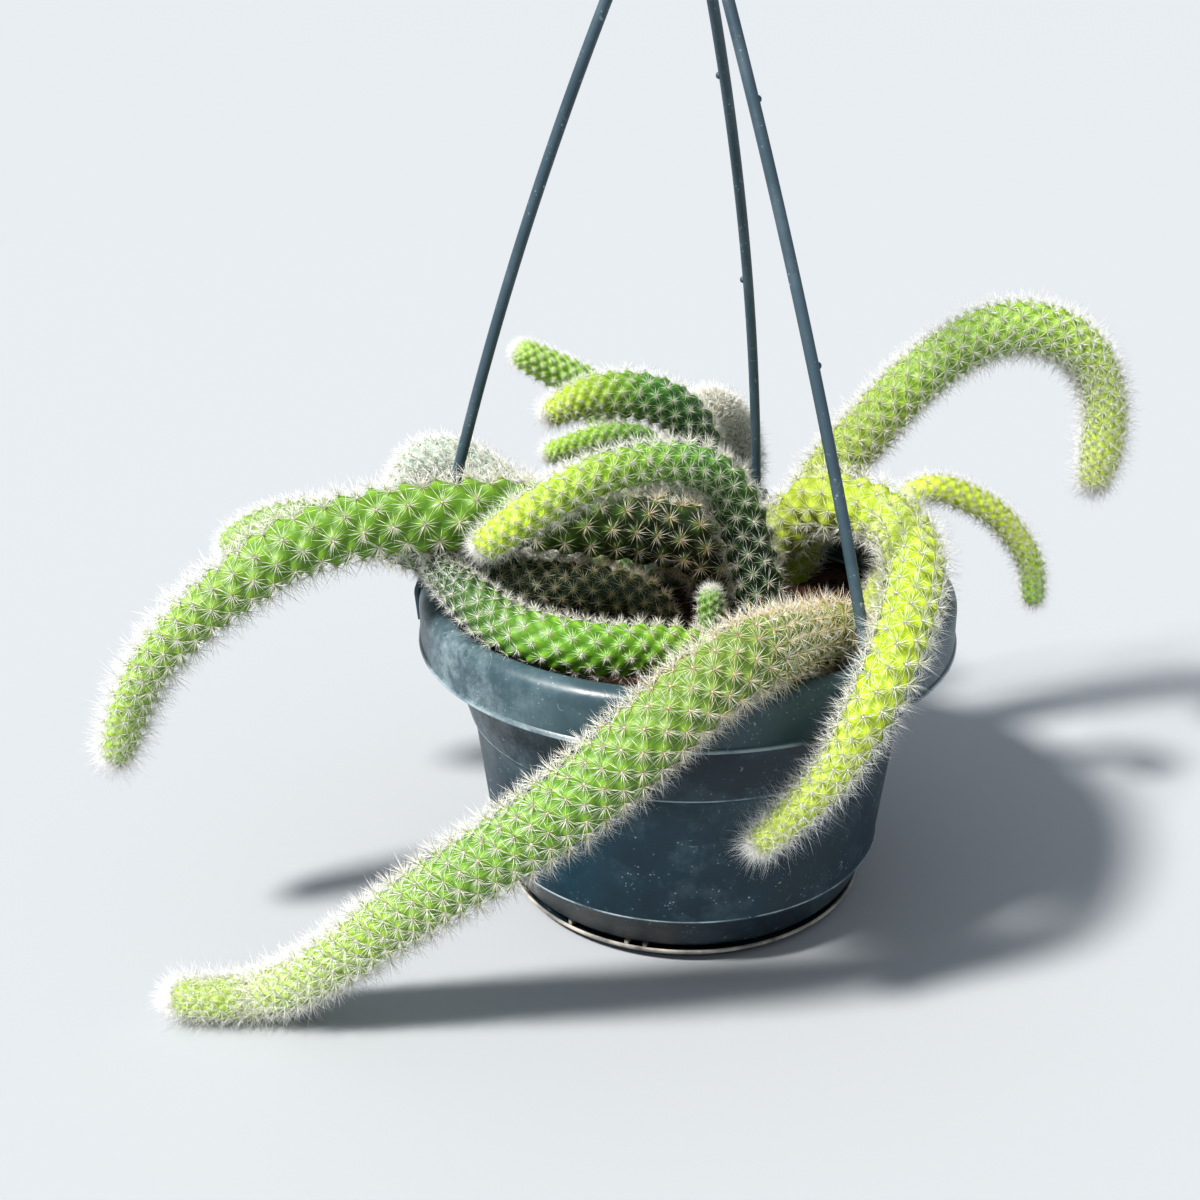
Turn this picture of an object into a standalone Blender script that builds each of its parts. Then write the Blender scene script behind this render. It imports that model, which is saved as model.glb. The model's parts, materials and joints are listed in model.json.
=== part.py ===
"""Potted monkey tail cactus: a plastic hanging pot on its drip saucer, filled with soil,
with fourteen spiny stems that arch over its rim and a three-strand hanger.

Metres, +Z up. The origin is on the pot's axis, on the surface that the saucer stands on,
and -Y is the front. Sizes are written in millimetres and multiplied by MM.
"""

import math
import random

import bmesh
import bpy
import numpy as np
from mathutils import Matrix, Vector

MM = 0.001
GAP = 0.3

# Pot
RIM_RADIUS = 82.5
RIM_TOP = 102.6
SHOULDER = 5.0
BAND_BOTTOM = 86.0
SKIRT_WALL = 1.4
LIP = 0.7
NECK_RADIUS = 75.4
STEP_RADIUS = 68.6
STEP_HEIGHT = 62.6
WAIST_RADIUS = 67.3
RIDGE_RADIUS = 62.4
RIDGE_HEIGHT = 18.0
FOOT_RADIUS = 55.8
FOOT_HEIGHT = 4.6
POT_WALL = 1.7
POT_SIDES = 32
DRAIN_HOLES = 6
DRAIN_RADIUS = 1.9
DRAIN_CIRCLE = 36.0

# Saucer under the pot
SAUCER_RADIUS = 57.9
SAUCER_HEIGHT = 4.2
SAUCER_WALL = 1.4
TAB_BEARINGS = (-111, -132, -105)
TAB_INNER, TAB_OUTER, TAB_WIDTH = 49.0, 55.6, 1.4

# Soil
SOIL_TOP = 84.0
SOIL_ROUGHNESS = 0.7
SOIL_RINGS = (60.0, 36.0, 14.0)

# Hanger
STRAND_RADIUS = 1.7
STRAND_SIDES = 8
STRAND_POINTS = 13
STRAND_SEAT = 77.5
STRAND_TOP = 306.0
STRAND_SPREAD = 3.4
STRANDS = {
    "strand_left": {"bearing": 178, "bow": 5.8},
    "strand_back": {"bearing": 68.5, "bow": 17},
    "strand_right": {"bearing": -53.4, "bow": 4.6},
}
NUB_RADIUS = 1.1
NUB_HEIGHTS = (180, 246)
CLIP_WIDTH = 6.0
CLIP_THICKNESS = 1.5
HUB_X, HUB_Y = -3.6, 6.0
HUB_BOTTOM = 299.0
HUB_RADIUS = 6.8
HUB_TOP = 317.0
HOOK_WIRE = 2.2
HOOK_RADIUS = 13.0
HOOK_SHANK = 8.0
HOOK_END = 205

# Stems
STEM_DEPTH = 18.0
COLLAR = 2.5
VALLEY = 0.86
APEX_LEAN = 0.9
SPINE_LENGTH = 6.5
SPINE_BASE = 0.5
SPINE_TILT = 0.42
THIN_SPINES = 0.8
SPINE_JITTER = 0.16
SPINE_SHARES = (1.0, 0.8, 0.6, 0.42, 0.28)
POT_ROOM = 0.7
STRAND_ROOM = 1.4
STEM_ROOM = 0.6
TIP_ANGLES = (34, 66)
TIP_SPINE_LIFT = 0.9
ROUTE_STEP = 1.5
THICK_STEM = 6.5
THICK_RIBS, THICK_ROW = 6, 8.0
THIN_RIBS, THIN_ROW = 4, 6.0

# Each stem's foot in the soil, x and y, and the route that its axis takes from there, each
# point with the stem's radius: x, y, z, radius
STEMS = {
    "stem_front": {
        "foot": (47, -32),
        "route": [
            (46, -35, 94.5, 9.3), (40.5, -42.5, 101.8, 9.5), (30, -55, 105.9, 9.4),
            (20.2, -70, 111.4, 9.7), (9.1, -86, 114.9, 9.7), (-1.7, -95, 111.3, 9.6),
            (-13.2, -100.5, 103.3, 9.7), (-27.2, -100.5, 89, 10), (-41.7, -98, 75.1, 9.9),
            (-56.6, -96, 62.9, 9.6), (-70.7, -93, 51.3, 9.2), (-85.3, -90, 38.7, 8.6),
            (-99, -87, 26.1, 7.9), (-112.3, -84.5, 15.5, 7.2), (-126.4, -80.1, 7.1, 6.6),
            (-136.6, -81, 6.7, 6.2), (-145.7, -80.3, 6.3, 5.8),
        ],
    },
    "stem_left": {
        "foot": (14, 19),
        "route": [
            (11, 19, 95, 9.4), (2.8, 18, 106.1, 11.2), (-13.9, 12, 113.1, 11.4),
            (-31, 0, 120.7, 11.3), (-46.9, -11, 127, 11.1), (-60, -18, 130.5, 10.9),
            (-72.6, -23, 131.9, 10.7), (-87.9, -28, 132.5, 10), (-102.1, -33, 131, 9.6),
            (-115.6, -37, 127, 9), (-126.7, -40, 120.1, 8.3), (-136.3, -42, 113.7, 7.6),
            (-146.4, -43, 104.9, 7), (-154.6, -43, 95.9, 6.4), (-161.2, -43, 85.3, 6.2),
            (-165.4, -43, 75.9, 5.8), (-168.2, -43, 68.3, 4.8),
        ],
    },
    "stem_left_rear": {
        "foot": (-10, -3),
        "route": [
            (-13.8, -5, 94.6, 8.3), (-27.6, -11, 102.5, 8.2), (-50, -14.5, 107.2, 7.9),
            (-70, -12, 113.3, 7.8), (-88.3, -2, 116.3, 7.8), (-105.4, 11, 116.3, 7.8),
            (-121.5, 22, 113.3, 7.7), (-135.2, 28, 108.3, 7.3), (-144.1, 31, 103.1, 6.4),
        ],
    },
    "stem_rim": {
        "foot": (5, -40),
        "route": [
            (0.1, -42, 95, 8), (-11.9, -49, 100.4, 8), (-26.9, -54.5, 103.6, 7.9),
            (-42.1, -54, 106.6, 7.8), (-52.8, -49, 108.7, 7.5), (-60.9, -43, 112.6, 6.9),
            (-68.2, -34, 115.2, 6), (-72.6, -29, 117.2, 4.9),
        ],
    },
    "stem_arch": {
        "foot": (24, -2),
        "route": [
            (23, -1, 94.4, 7.6), (21.6, 0, 102.5, 7.8), (19.3, 1, 112.1, 8), (16, 1, 123, 7.9),
            (10.5, 0, 133.1, 7.4), (1.7, -4, 139.7, 7.1), (-8.7, -11, 143.1, 6.7),
            (-19.1, -18, 143.9, 6.7), (-29.2, -25, 143.1, 6.5), (-39.1, -31, 140, 6.1),
            (-48.9, -36, 135.4, 5.8), (-57, -39, 130.4, 5),
        ],
    },
    "stem_bud": {
        "foot": (6.5, -20),
        "route": [
            (6.5, -20, 93, 4.4), (6.3, -20, 103.1, 4),
        ],
    },
    "stem_right": {
        "foot": (16, 39),
        "route": [
            (19, 38.5, 95, 8.6), (35.6, 31.5, 106.9, 9.3), (41.7, 26, 115.9, 9.9),
            (49.5, 15, 119.9, 9.9), (56.8, 3, 122.3, 9.2), (63.2, -13, 121.7, 8.9),
            (62.5, -38, 120.9, 8.6), (57.3, -59, 116.8, 8.2), (50.3, -77, 110.3, 7.4),
            (43.3, -86.5, 100.8, 6.4), (35.8, -89, 86.5, 5.7), (27.1, -91, 76.3, 5.2),
            (20.5, -93, 70.5, 4.7), (16.1, -95, 67.5, 4.1),
        ],
    },
    "stem_high": {
        "foot": (37.5, 43),
        "route": [
            (41, 46, 95, 8.4), (48.4, 52, 112.5, 8.9), (57, 55, 124.1, 8.9),
            (63.8, 56, 131.4, 8.9), (73.8, 56.5, 143.3, 8.7), (86.5, 58, 154.3, 8.6),
            (98.7, 58, 161.8, 8.8), (111.9, 57, 164.9, 8.7), (123.8, 55.5, 162.5, 8.3),
            (132.9, 54, 156.5, 7.6), (138.5, 52.5, 146.7, 7), (140.7, 51, 135.6, 7),
            (140.5, 50, 124.8, 6.6), (139.6, 50, 116.7, 5.5),
        ],
    },
    "stem_small": {
        "foot": (60, 8),
        "route": [
            (65, 12, 101, 4.6), (68.6, 17, 116.2, 4.4), (73.6, 19, 122.1, 4.4),
            (81.4, 19, 123.2, 4.5), (88.1, 18.5, 120.8, 4.7), (94.9, 18, 117.6, 4.5),
            (101.4, 18, 112.4, 4.4), (106.7, 18, 105.9, 4.3), (111.4, 18, 97.9, 4.2),
            (113.4, 18, 87.3, 3.8),
        ],
    },
    "stem_back_arch": {
        "foot": (-7, 33),
        "route": [
            (-2.6, 38.5, 106.1, 7.6), (5.2, 41, 124.3, 7.7), (4.8, 42, 135.3, 7.8),
            (0.1, 41, 142.1, 7.7), (-7.7, 39.5, 147, 7.8), (-18, 37, 149.7, 7.8),
            (-27.2, 34, 150.2, 7), (-34.2, 31, 149.2, 5.9), (-39.2, 29, 147.3, 4.8),
        ],
    },
    "stem_back_small": {
        "foot": (-17, 41),
        "route": [
            (-17, 45, 99, 4.6), (-13.5, 52, 112.9, 4.7), (-8.7, 54, 120.3, 4.8),
            (-10, 55, 127.1, 4.9), (-18.4, 53, 130.6, 4.9), (-31, 48, 130.3, 4.6),
            (-40.9, 43, 128.7, 3.9),
        ],
    },
    "stem_back_tip": {
        "foot": (-27, 50),
        "route": [
            (-27, 55, 99, 5.7), (-27.2, 62, 118.2, 6), (-25.3, 66, 133.2, 6),
            (-29.2, 67, 143.1, 6.1), (-38.6, 66, 148.7, 6.2), (-49.7, 64, 155.2, 5.4),
        ],
    },
    "stem_back_left": {
        "foot": (-40, 40),
        "route": [
            (-44.9, 43, 98.1, 7), (-53.1, 48, 108.8, 7), (-61.9, 53, 114.9, 7.1),
            (-71, 56, 119.7, 7.1), (-79.1, 58, 121.9, 6.9), (-86.2, 60, 119.9, 6.8),
            (-90.8, 62, 113.5, 6.6), (-93.7, 64, 103.7, 6.3), (-95.4, 65, 93.7, 5.6),
        ],
    },
    "stem_back": {
        "foot": (-7, 56),
        "route": [
            (-5, 60, 100, 7.4), (0.9, 65, 118.9, 7), (4, 68, 128.7, 7), (10.3, 76, 131.8, 7.1),
            (18.2, 87, 126.1, 7.2), (23.8, 96, 113.8, 7.2), (26, 101, 100.5, 6.8),
            (25.7, 103, 89.2, 5.8),
        ],
    },
}
FOOT_TAPER = 0.97

# Linear base colour and roughness of each material
FINISHES = {
    "pot_plastic": ((0.026, 0.048, 0.060), 0.38),
    "hanger_plastic": ((0.045, 0.080, 0.105), 0.42),
    "soil": ((0.030, 0.016, 0.011), 0.95),
    "stem_green": ((0.150, 0.340, 0.060), 0.60),
    "stem_lime": ((0.360, 0.520, 0.050), 0.60),
    "stem_shaded": ((0.110, 0.220, 0.070), 0.62),
}
STEM_FINISH = {
    "stem_right": "stem_lime", "stem_small": "stem_lime", "stem_high": "stem_lime",
    "stem_back": "stem_shaded", "stem_back_left": "stem_shaded",
}


def clear_scene():
    for obj in list(bpy.data.objects):
        bpy.data.objects.remove(obj)


def material(name):
    found = bpy.data.materials.get(name)
    if found:
        return found
    colour, roughness = FINISHES[name]
    made = bpy.data.materials.new(name)
    made.use_nodes = True
    shader = made.node_tree.nodes["Principled BSDF"]
    shader.inputs["Base Color"].default_value = (*colour, 1.0)
    shader.inputs["Roughness"].default_value = roughness
    return made


def add_object(name, mesh, finish, smooth_angle=None):
    obj = bpy.data.objects.new(name, mesh)
    bpy.context.scene.collection.objects.link(obj)
    mesh.materials.append(material(finish))
    if smooth_angle:
        mesh.shade_smooth()
        mesh.set_sharp_from_angle(angle=math.radians(smooth_angle))
    return obj


def from_bmesh(name, shape):
    bmesh.ops.recalc_face_normals(shape, faces=shape.faces)
    mesh = bpy.data.meshes.new(name)
    shape.to_mesh(mesh)
    shape.free()
    return mesh


def turned(name, outline, sides, centre=(0, 0)):
    """An outline of (radius, height) turned about the vertical axis through centre. It
    starts and ends on the axis."""
    shape = bmesh.new()
    points = [shape.verts.new((r * MM, 0, z * MM)) for r, z in outline]
    edges = [shape.edges.new(pair) for pair in zip(points, points[1:])]
    bmesh.ops.spin(
        shape, geom=points + edges, axis=(0, 0, 1), cent=(0, 0, 0),
        angle=math.tau, steps=sides, use_merge=True,
    )
    bmesh.ops.remove_doubles(shape, verts=shape.verts, dist=1e-6)
    bmesh.ops.translate(shape, verts=shape.verts, vec=(centre[0] * MM, centre[1] * MM, 0))
    return from_bmesh(name, shape)


def arc(centre, radius, start, end, steps):
    """Points (r, z) on an arc of a turned outline, angles in degrees from outwards."""
    angles = np.radians(np.linspace(start, end, steps))
    return [(centre[0] + radius * math.cos(a), centre[1] + radius * math.sin(a)) for a in angles]


def boolean(obj, other, operation):
    """Cuts other from obj, or fuses it to obj, for good. other is an object or a collection."""
    cut = obj.modifiers.new(operation.lower(), "BOOLEAN")
    cut.operation = operation
    cut.solver = "EXACT"
    if isinstance(other, bpy.types.Collection):
        cut.operand_type = "COLLECTION"
        cut.collection = other
    else:
        cut.object = other
    bpy.context.view_layer.objects.active = obj
    bpy.ops.object.modifier_apply(modifier=cut.name)


def gather(name, objects):
    """Moves helper objects into a collection of their own."""
    group = bpy.data.collections.new(name)
    bpy.context.scene.collection.children.link(group)
    for obj in objects:
        bpy.context.scene.collection.objects.unlink(obj)
        group.objects.link(obj)
    return group


def drop(group):
    for obj in list(group.objects):
        bpy.data.objects.remove(obj)
    bpy.data.collections.remove(group)


def cylinder(name, start, end, radius, sides):
    """A closed cylinder between two points, its sides' middles radius from its axis."""
    start, end = Vector(start) * MM, Vector(end) * MM
    shape = bmesh.new()
    corner = radius * MM / math.cos(math.pi / sides)
    bmesh.ops.create_cone(
        shape, cap_ends=True, segments=sides, radius1=corner, radius2=corner,
        depth=(end - start).length,
    )
    turn = (end - start).to_track_quat("Z", "Y").to_matrix().to_4x4()
    bmesh.ops.transform(shape, matrix=turn, verts=shape.verts)
    bmesh.ops.translate(shape, vec=(start + end) / 2, verts=shape.verts)
    return add_object(name, from_bmesh(name, shape), "pot_plastic")


def pot_inside():
    """The pot's inner wall from the rim's inner edge down to the floor, as (r, z)."""
    return [
        (RIM_RADIUS - 6.2, RIM_TOP - 0.8),
        (NECK_RADIUS - 1.0, RIM_TOP - 3.2),
        (NECK_RADIUS - POT_WALL, BAND_BOTTOM),
        (STEP_RADIUS - POT_WALL, STEP_HEIGHT + 0.4),
        (WAIST_RADIUS - POT_WALL, STEP_HEIGHT - 1.4),
        (RIDGE_RADIUS - POT_WALL, RIDGE_HEIGHT + 0.5),
        (FOOT_RADIUS - 0.2, FOOT_HEIGHT + 2.8),
        (FOOT_RADIUS - 1.6, FOOT_HEIGHT + POT_WALL),
    ]


def make_pot():
    skirt = RIM_RADIUS - SKIRT_WALL
    arc_centre = (RIM_RADIUS - SHOULDER, RIM_TOP - SHOULDER)
    outline = [
        (0, FOOT_HEIGHT),
        (FOOT_RADIUS, FOOT_HEIGHT),
        (FOOT_RADIUS + 1.6, FOOT_HEIGHT + 1.8),
        (RIDGE_RADIUS, RIDGE_HEIGHT - 0.7),
        (RIDGE_RADIUS + 0.5, RIDGE_HEIGHT),
        (RIDGE_RADIUS + 0.1, RIDGE_HEIGHT + 0.7),
        (WAIST_RADIUS, STEP_HEIGHT - 1.1),
        (STEP_RADIUS, STEP_HEIGHT),
        (NECK_RADIUS, BAND_BOTTOM),
        (NECK_RADIUS + 0.6, RIM_TOP - 5.2),
        (NECK_RADIUS + 2.4, RIM_TOP - 3.2),
        (skirt - 1.4, RIM_TOP - 3.6),
        (skirt, RIM_TOP - 5.4),
        (skirt, BAND_BOTTOM + 0.2),
        (RIM_RADIUS + LIP, BAND_BOTTOM),
        (RIM_RADIUS + LIP, BAND_BOTTOM + 0.8),
        (RIM_RADIUS, BAND_BOTTOM + 1.5),
        *arc(arc_centre, SHOULDER, 0, 90, 5),
        *pot_inside(),
        (0, FOOT_HEIGHT + POT_WALL),
    ]
    pot = add_object("pot", turned("pot", outline, POT_SIDES), "pot_plastic", 40)
    drains = []
    for i in range(DRAIN_HOLES):
        angle = math.tau * i / DRAIN_HOLES
        x, y = DRAIN_CIRCLE * math.cos(angle), DRAIN_CIRCLE * math.sin(angle)
        drains.append(
            cylinder(f"drain_{i}", (x, y, FOOT_HEIGHT - 2), (x, y, FOOT_HEIGHT + 4), DRAIN_RADIUS, 8)
        )
    group = gather("drains", drains)
    boolean(pot, group, "DIFFERENCE")
    drop(group)


def make_saucer():
    """A shallow dish with small upright tabs that the pot's floor stands on."""
    flat = SAUCER_RADIUS - 4.0
    outline = [
        (0, 0),
        (flat, 0),
        (flat + 1.2, 0.5),
        (SAUCER_RADIUS, SAUCER_HEIGHT - 0.5),
        (SAUCER_RADIUS - 0.3, SAUCER_HEIGHT),
        (SAUCER_RADIUS - 0.9, SAUCER_HEIGHT - 0.1),
        (flat + 0.6, SAUCER_WALL),
        (0, SAUCER_WALL),
    ]
    saucer = add_object("saucer", turned("saucer", outline, POT_SIDES), "pot_plastic", 40)
    tabs = []
    top = FOOT_HEIGHT - GAP
    for third in (0, 120, 240):
        for bearing in TAB_BEARINGS:
            shape = bmesh.new()
            bmesh.ops.create_cube(shape, size=1.0)
            size = (TAB_OUTER - TAB_INNER, TAB_WIDTH, top - SAUCER_WALL / 2)
            middle = ((TAB_OUTER + TAB_INNER) / 2, 0, (top + SAUCER_WALL / 2) / 2)
            bmesh.ops.scale(shape, vec=Vector(size) * MM, verts=shape.verts)
            bmesh.ops.translate(shape, vec=Vector(middle) * MM, verts=shape.verts)
            turn = Matrix.Rotation(math.radians(bearing + third), 4, "Z")
            bmesh.ops.transform(shape, matrix=turn, verts=shape.verts)
            tabs.append(add_object(f"tab_{bearing}_{third}", from_bmesh("tab", shape), "pot_plastic"))
    group = gather("tabs", tabs)
    boolean(saucer, group, "UNION")
    drop(group)


def soil_bump(x, y):
    """How far the soil's surface lies above its level at a place, in millimetres."""
    return SOIL_ROUGHNESS * (math.sin(0.21 * x + 0.9) * math.cos(0.17 * y) + math.sin(0.33 * (x + y))) / 2


def make_soil(feet):
    """The soil fills the pot and has a round hole for each stem's foot."""
    wall = [(r - GAP, z) for r, z in pot_inside() if z < SOIL_TOP]
    slope = (NECK_RADIUS - STEP_RADIUS) / (BAND_BOTTOM - STEP_HEIGHT - 0.4)
    edge = wall[0][0] + slope * (SOIL_TOP - wall[0][1])
    outline = [(0, SOIL_TOP)] + [(r, SOIL_TOP) for r in reversed(SOIL_RINGS)]
    outline += [(edge, SOIL_TOP), *wall[:-1]]
    outline += [(wall[-1][0], wall[-1][1] + GAP), (0, FOOT_HEIGHT + POT_WALL + GAP)]
    soil = add_object("soil", turned("soil", outline, POT_SIDES), "soil", 40)
    for vert in soil.data.vertices:
        radius = math.hypot(vert.co.x, vert.co.y) / MM
        if vert.co.z > (SOIL_TOP - 1) * MM and radius < edge - 1:
            vert.co.z += soil_bump(vert.co.x / MM, vert.co.y / MM) * MM
    holes = []
    for i, (x, y, radius) in enumerate(feet):
        start, end = (x, y, SOIL_TOP - STEM_DEPTH - GAP), (x, y, SOIL_TOP + 4)
        holes.append(cylinder(f"hole_{i}", start, end, radius + GAP, 12))
    group = gather("holes", holes)
    boolean(soil, group, "DIFFERENCE")
    drop(group)


def strand_line(bearing, bow, steps=STRAND_POINTS):
    """The middle of one strand, from its foot on the rim up to its end in the hub."""
    out = Vector((math.cos(math.radians(bearing)), math.sin(math.radians(bearing)), 0))
    foot = out * STRAND_SEAT + Vector((0, 0, RIM_TOP + 1.2))
    top = Vector((HUB_X, HUB_Y, STRAND_TOP)) + out * STRAND_SPREAD
    return [
        foot.lerp(top, t) + out * bow * 4 * t * (1 - t) for t in np.linspace(0, 1, steps)
    ]


def tube(name, points, radius, sides, finish):
    """A closed round bar along points: a curve with a bevel, made a mesh."""
    curve = bpy.data.curves.new(name, "CURVE")
    curve.dimensions = "3D"
    curve.bevel_depth = radius * MM
    curve.bevel_resolution = sides // 2 - 2
    curve.use_fill_caps = True
    spline = curve.splines.new("POLY")
    spline.points.add(len(points) - 1)
    for point, place in zip(spline.points, points):
        point.co = (*(Vector(place) * MM), 1)
    guide = bpy.data.objects.new(name + "_guide", curve)
    bpy.context.scene.collection.objects.link(guide)
    mesh = bpy.data.meshes.new_from_object(guide.evaluated_get(bpy.context.evaluated_depsgraph_get()))
    bpy.data.objects.remove(guide)
    shape = bmesh.new()
    shape.from_mesh(mesh)
    bmesh.ops.remove_doubles(shape, verts=shape.verts, dist=1e-6)
    return add_object(name, from_bmesh(name, shape), finish)


def clip_outline():
    """The strap that holds a strand to the rim, as (r, z): over the shoulder, with a long
    leg outside and a short one inside."""
    centre = (RIM_RADIUS - SHOULDER, RIM_TOP - SHOULDER)
    inner = SHOULDER + GAP + 0.05
    outer = inner + CLIP_THICKNESS
    leg_bottom = BAND_BOTTOM + 2.6
    inside = NECK_RADIUS - 2.0
    return [
        (centre[0] + inner, leg_bottom),
        *arc(centre, inner, 0, 90, 4),
        (centre[0] - 1.7, RIM_TOP + 0.1),
        (inside + 0.1, RIM_TOP - 2.4),
        (inside - 0.2, RIM_TOP - 6.0),
        (inside - 1.4, RIM_TOP - 6.0),
        (inside - 1.3, RIM_TOP - 1.8),
        (centre[0] - 2.4, RIM_TOP + 1.6),
        *arc(centre, outer, 90, 0, 4),
        (centre[0] + inner + 0.8, leg_bottom),
    ]


def make_strand(name, bearing, bow):
    """One strand of the hanger: a round bar with small moulded nubs, and its rim clip."""
    line = strand_line(bearing, bow)
    strand = tube(name, line, STRAND_RADIUS, STRAND_SIDES, "hanger_plastic")
    angle = math.radians(bearing)
    shape = bmesh.new()
    for side in (-1, 1):
        for r, z in clip_outline():
            across = side * CLIP_WIDTH / 2
            x = r * math.cos(angle) - across * math.sin(angle)
            y = r * math.sin(angle) + across * math.cos(angle)
            shape.verts.new(Vector((x, y, z)) * MM)
    verts = list(shape.verts)
    count = len(verts) // 2
    shape.faces.new(verts[:count])
    shape.faces.new(verts[count:])
    for i in range(count):
        k = (i + 1) % count
        shape.faces.new((verts[i], verts[k], verts[count + k], verts[count + i]))
    pieces = [add_object("clip", from_bmesh("clip", shape), "hanger_plastic")]
    side = Vector((-math.sin(angle), math.cos(angle), 0)) * (1 if bearing > 100 else -1)
    for height in NUB_HEIGHTS:
        near = min(range(len(line) - 1), key=lambda k: abs(line[k].z + line[k + 1].z - 2 * height))
        low, high = line[near], line[near + 1]
        place = low.lerp(high, (height - low.z) / (high.z - low.z)) - side * (STRAND_RADIUS - 0.1)
        shape = bmesh.new()
        bmesh.ops.create_icosphere(shape, subdivisions=1, radius=NUB_RADIUS * MM)
        bmesh.ops.translate(shape, vec=place * MM, verts=shape.verts)
        pieces.append(add_object("nub", from_bmesh("nub", shape), "hanger_plastic"))
    group = gather(name + "_pieces", pieces)
    boolean(strand, group, "UNION")
    drop(group)


def make_hanger_top():
    """The hub that the three strands end in, and the hook above it."""
    outline = [
        (0, HUB_BOTTOM),
        (HUB_RADIUS - 0.8, HUB_BOTTOM),
        (HUB_RADIUS, HUB_BOTTOM + 0.9),
        (HUB_RADIUS, HUB_BOTTOM + 9.5),
        (HUB_RADIUS - 2.6, HUB_TOP - 3.0),
        (HOOK_WIRE + 0.6, HUB_TOP),
        (0, HUB_TOP),
    ]
    top = add_object(
        "hanger_top", turned("hanger_top", outline, 16, (HUB_X, HUB_Y)), "hanger_plastic", 40
    )
    sockets = []
    for name, spec in STRANDS.items():
        line = strand_line(**spec)
        along = (line[-1] - line[-2]).normalized()
        end = line[-1] + along * GAP
        sockets.append(
            cylinder(name + "_socket", end - along * 14, end, STRAND_RADIUS + GAP, 12)
        )
    group = gather("sockets", sockets)
    boolean(top, group, "DIFFERENCE")
    drop(group)
    centre_z = HUB_TOP + HOOK_SHANK + HOOK_RADIUS
    line = [(HUB_X, HUB_Y, HUB_TOP - 2)]
    for angle in np.radians(np.linspace(-90, HOOK_END, 17)):
        x, z = HOOK_RADIUS * math.cos(angle), HOOK_RADIUS * math.sin(angle)
        line.append((HUB_X + x, HUB_Y, centre_z + z))
    hook = tube("hook", line, HOOK_WIRE, STRAND_SIDES, "hanger_plastic")
    boolean(top, hook, "UNION")
    bpy.data.objects.remove(hook)


def smooth_route(spec):
    """Close points along a stem's axis, as rows of x, y, z, radius: a Catmull-Rom curve
    through the route that leaves the soil upright."""
    x, y = spec["foot"]
    first = spec["route"][0][3] * FOOT_TAPER
    start = (x, y, SOIL_TOP + COLLAR, first)
    below = (x, y, SOIL_TOP + COLLAR - 12, first)
    points = np.array([below, start, *spec["route"]], float)
    points = np.vstack([points, 2 * points[-1] - points[-2]])
    rows = []
    for a, b, c, d in zip(points, points[1:], points[2:], points[3:]):
        knots = [0.0]
        for p, q in ((a, b), (b, c), (c, d)):
            knots.append(knots[-1] + math.sqrt(np.linalg.norm((q - p)[:3])))
        k0, k1, k2, k3 = knots
        steps = max(3, int(np.linalg.norm((c - b)[:3]) / ROUTE_STEP))
        for t in np.linspace(k1, k2, steps, endpoint=False):
            ab = a + (b - a) * (t - k0) / (k1 - k0)
            bc = b + (c - b) * (t - k1) / (k2 - k1)
            cd = c + (d - c) * (t - k2) / (k3 - k2)
            abc = ab + (bc - ab) * (t - k0) / (k2 - k0)
            bcd = bc + (cd - bc) * (t - k1) / (k3 - k1)
            rows.append(abc + (bcd - abc) * (t - k1) / (k2 - k1))
    rows.append(points[-2])
    return np.array(rows)


def pot_room(point):
    """Distance from a point to the pot, the soil and the surface below, taken as blocks."""
    radius = math.hypot(point[0], point[1])
    blocks = (
        (NECK_RADIUS - 3.6, RIM_RADIUS + 2.4, BAND_BOTTOM - 6, RIM_TOP + 0.3),
        (0, NECK_RADIUS + 0.5, 0, SOIL_TOP + 1),
    )
    room = point[2]
    for low_r, high_r, low_z, high_z in blocks:
        out = max(low_r - radius, radius - high_r, 0)
        up = max(low_z - point[2], point[2] - high_z, 0)
        room = min(room, math.hypot(out, up))
    return room


def spine_length(name, base, aim, full, axes, strands):
    """The longest length that keeps a spine on its own side of what lies near it."""
    own = axes[name]
    for share in SPINE_SHARES:
        tip = base + aim * full * share
        if pot_room(tip) < POT_ROOM:
            continue
        if (np.linalg.norm(strands - tip, axis=1) - STRAND_RADIUS).min() < NUB_RADIUS + STRAND_ROOM:
            continue
        from_own = (np.linalg.norm(own[:, :3] - tip, axis=1) - own[:, 3]).min()
        others = [
            (np.linalg.norm(axis[:, :3] - tip, axis=1) - axis[:, 3]).min()
            for other, axis in axes.items()
            if other != name
        ]
        if min(others) > from_own + STEM_ROOM and from_own > STEM_ROOM * full * share:
            return full * share
    return 0.0


def stem_rows(axis, row):
    """The rings of a stem from its foot to its tip: centre, direction and radius."""
    steps = np.linalg.norm(np.diff(axis[:, :3], axis=0), axis=1)
    along = np.concatenate([[0.0], np.cumsum(steps)])
    count = round(along[-1] / row)
    rings = []
    for s in np.linspace(0, along[-1], count + 1):
        here = np.array([np.interp(s, along, axis[:, k]) for k in range(4)])
        ahead = np.array([np.interp(min(s + 1, along[-1]), along, axis[:, k]) for k in range(3)])
        behind = np.array([np.interp(max(s - 1, 0), along, axis[:, k]) for k in range(3)])
        way = Vector(ahead - behind).normalized()
        rings.append((Vector(here[:3]), way, here[3]))
    centre, way, radius = rings[-1]
    for angle in TIP_ANGLES:
        rise, width = math.sin(math.radians(angle)), math.cos(math.radians(angle))
        rings.append((centre + way * radius * rise, way, radius * width))
    return rings, centre + way * radius


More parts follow.
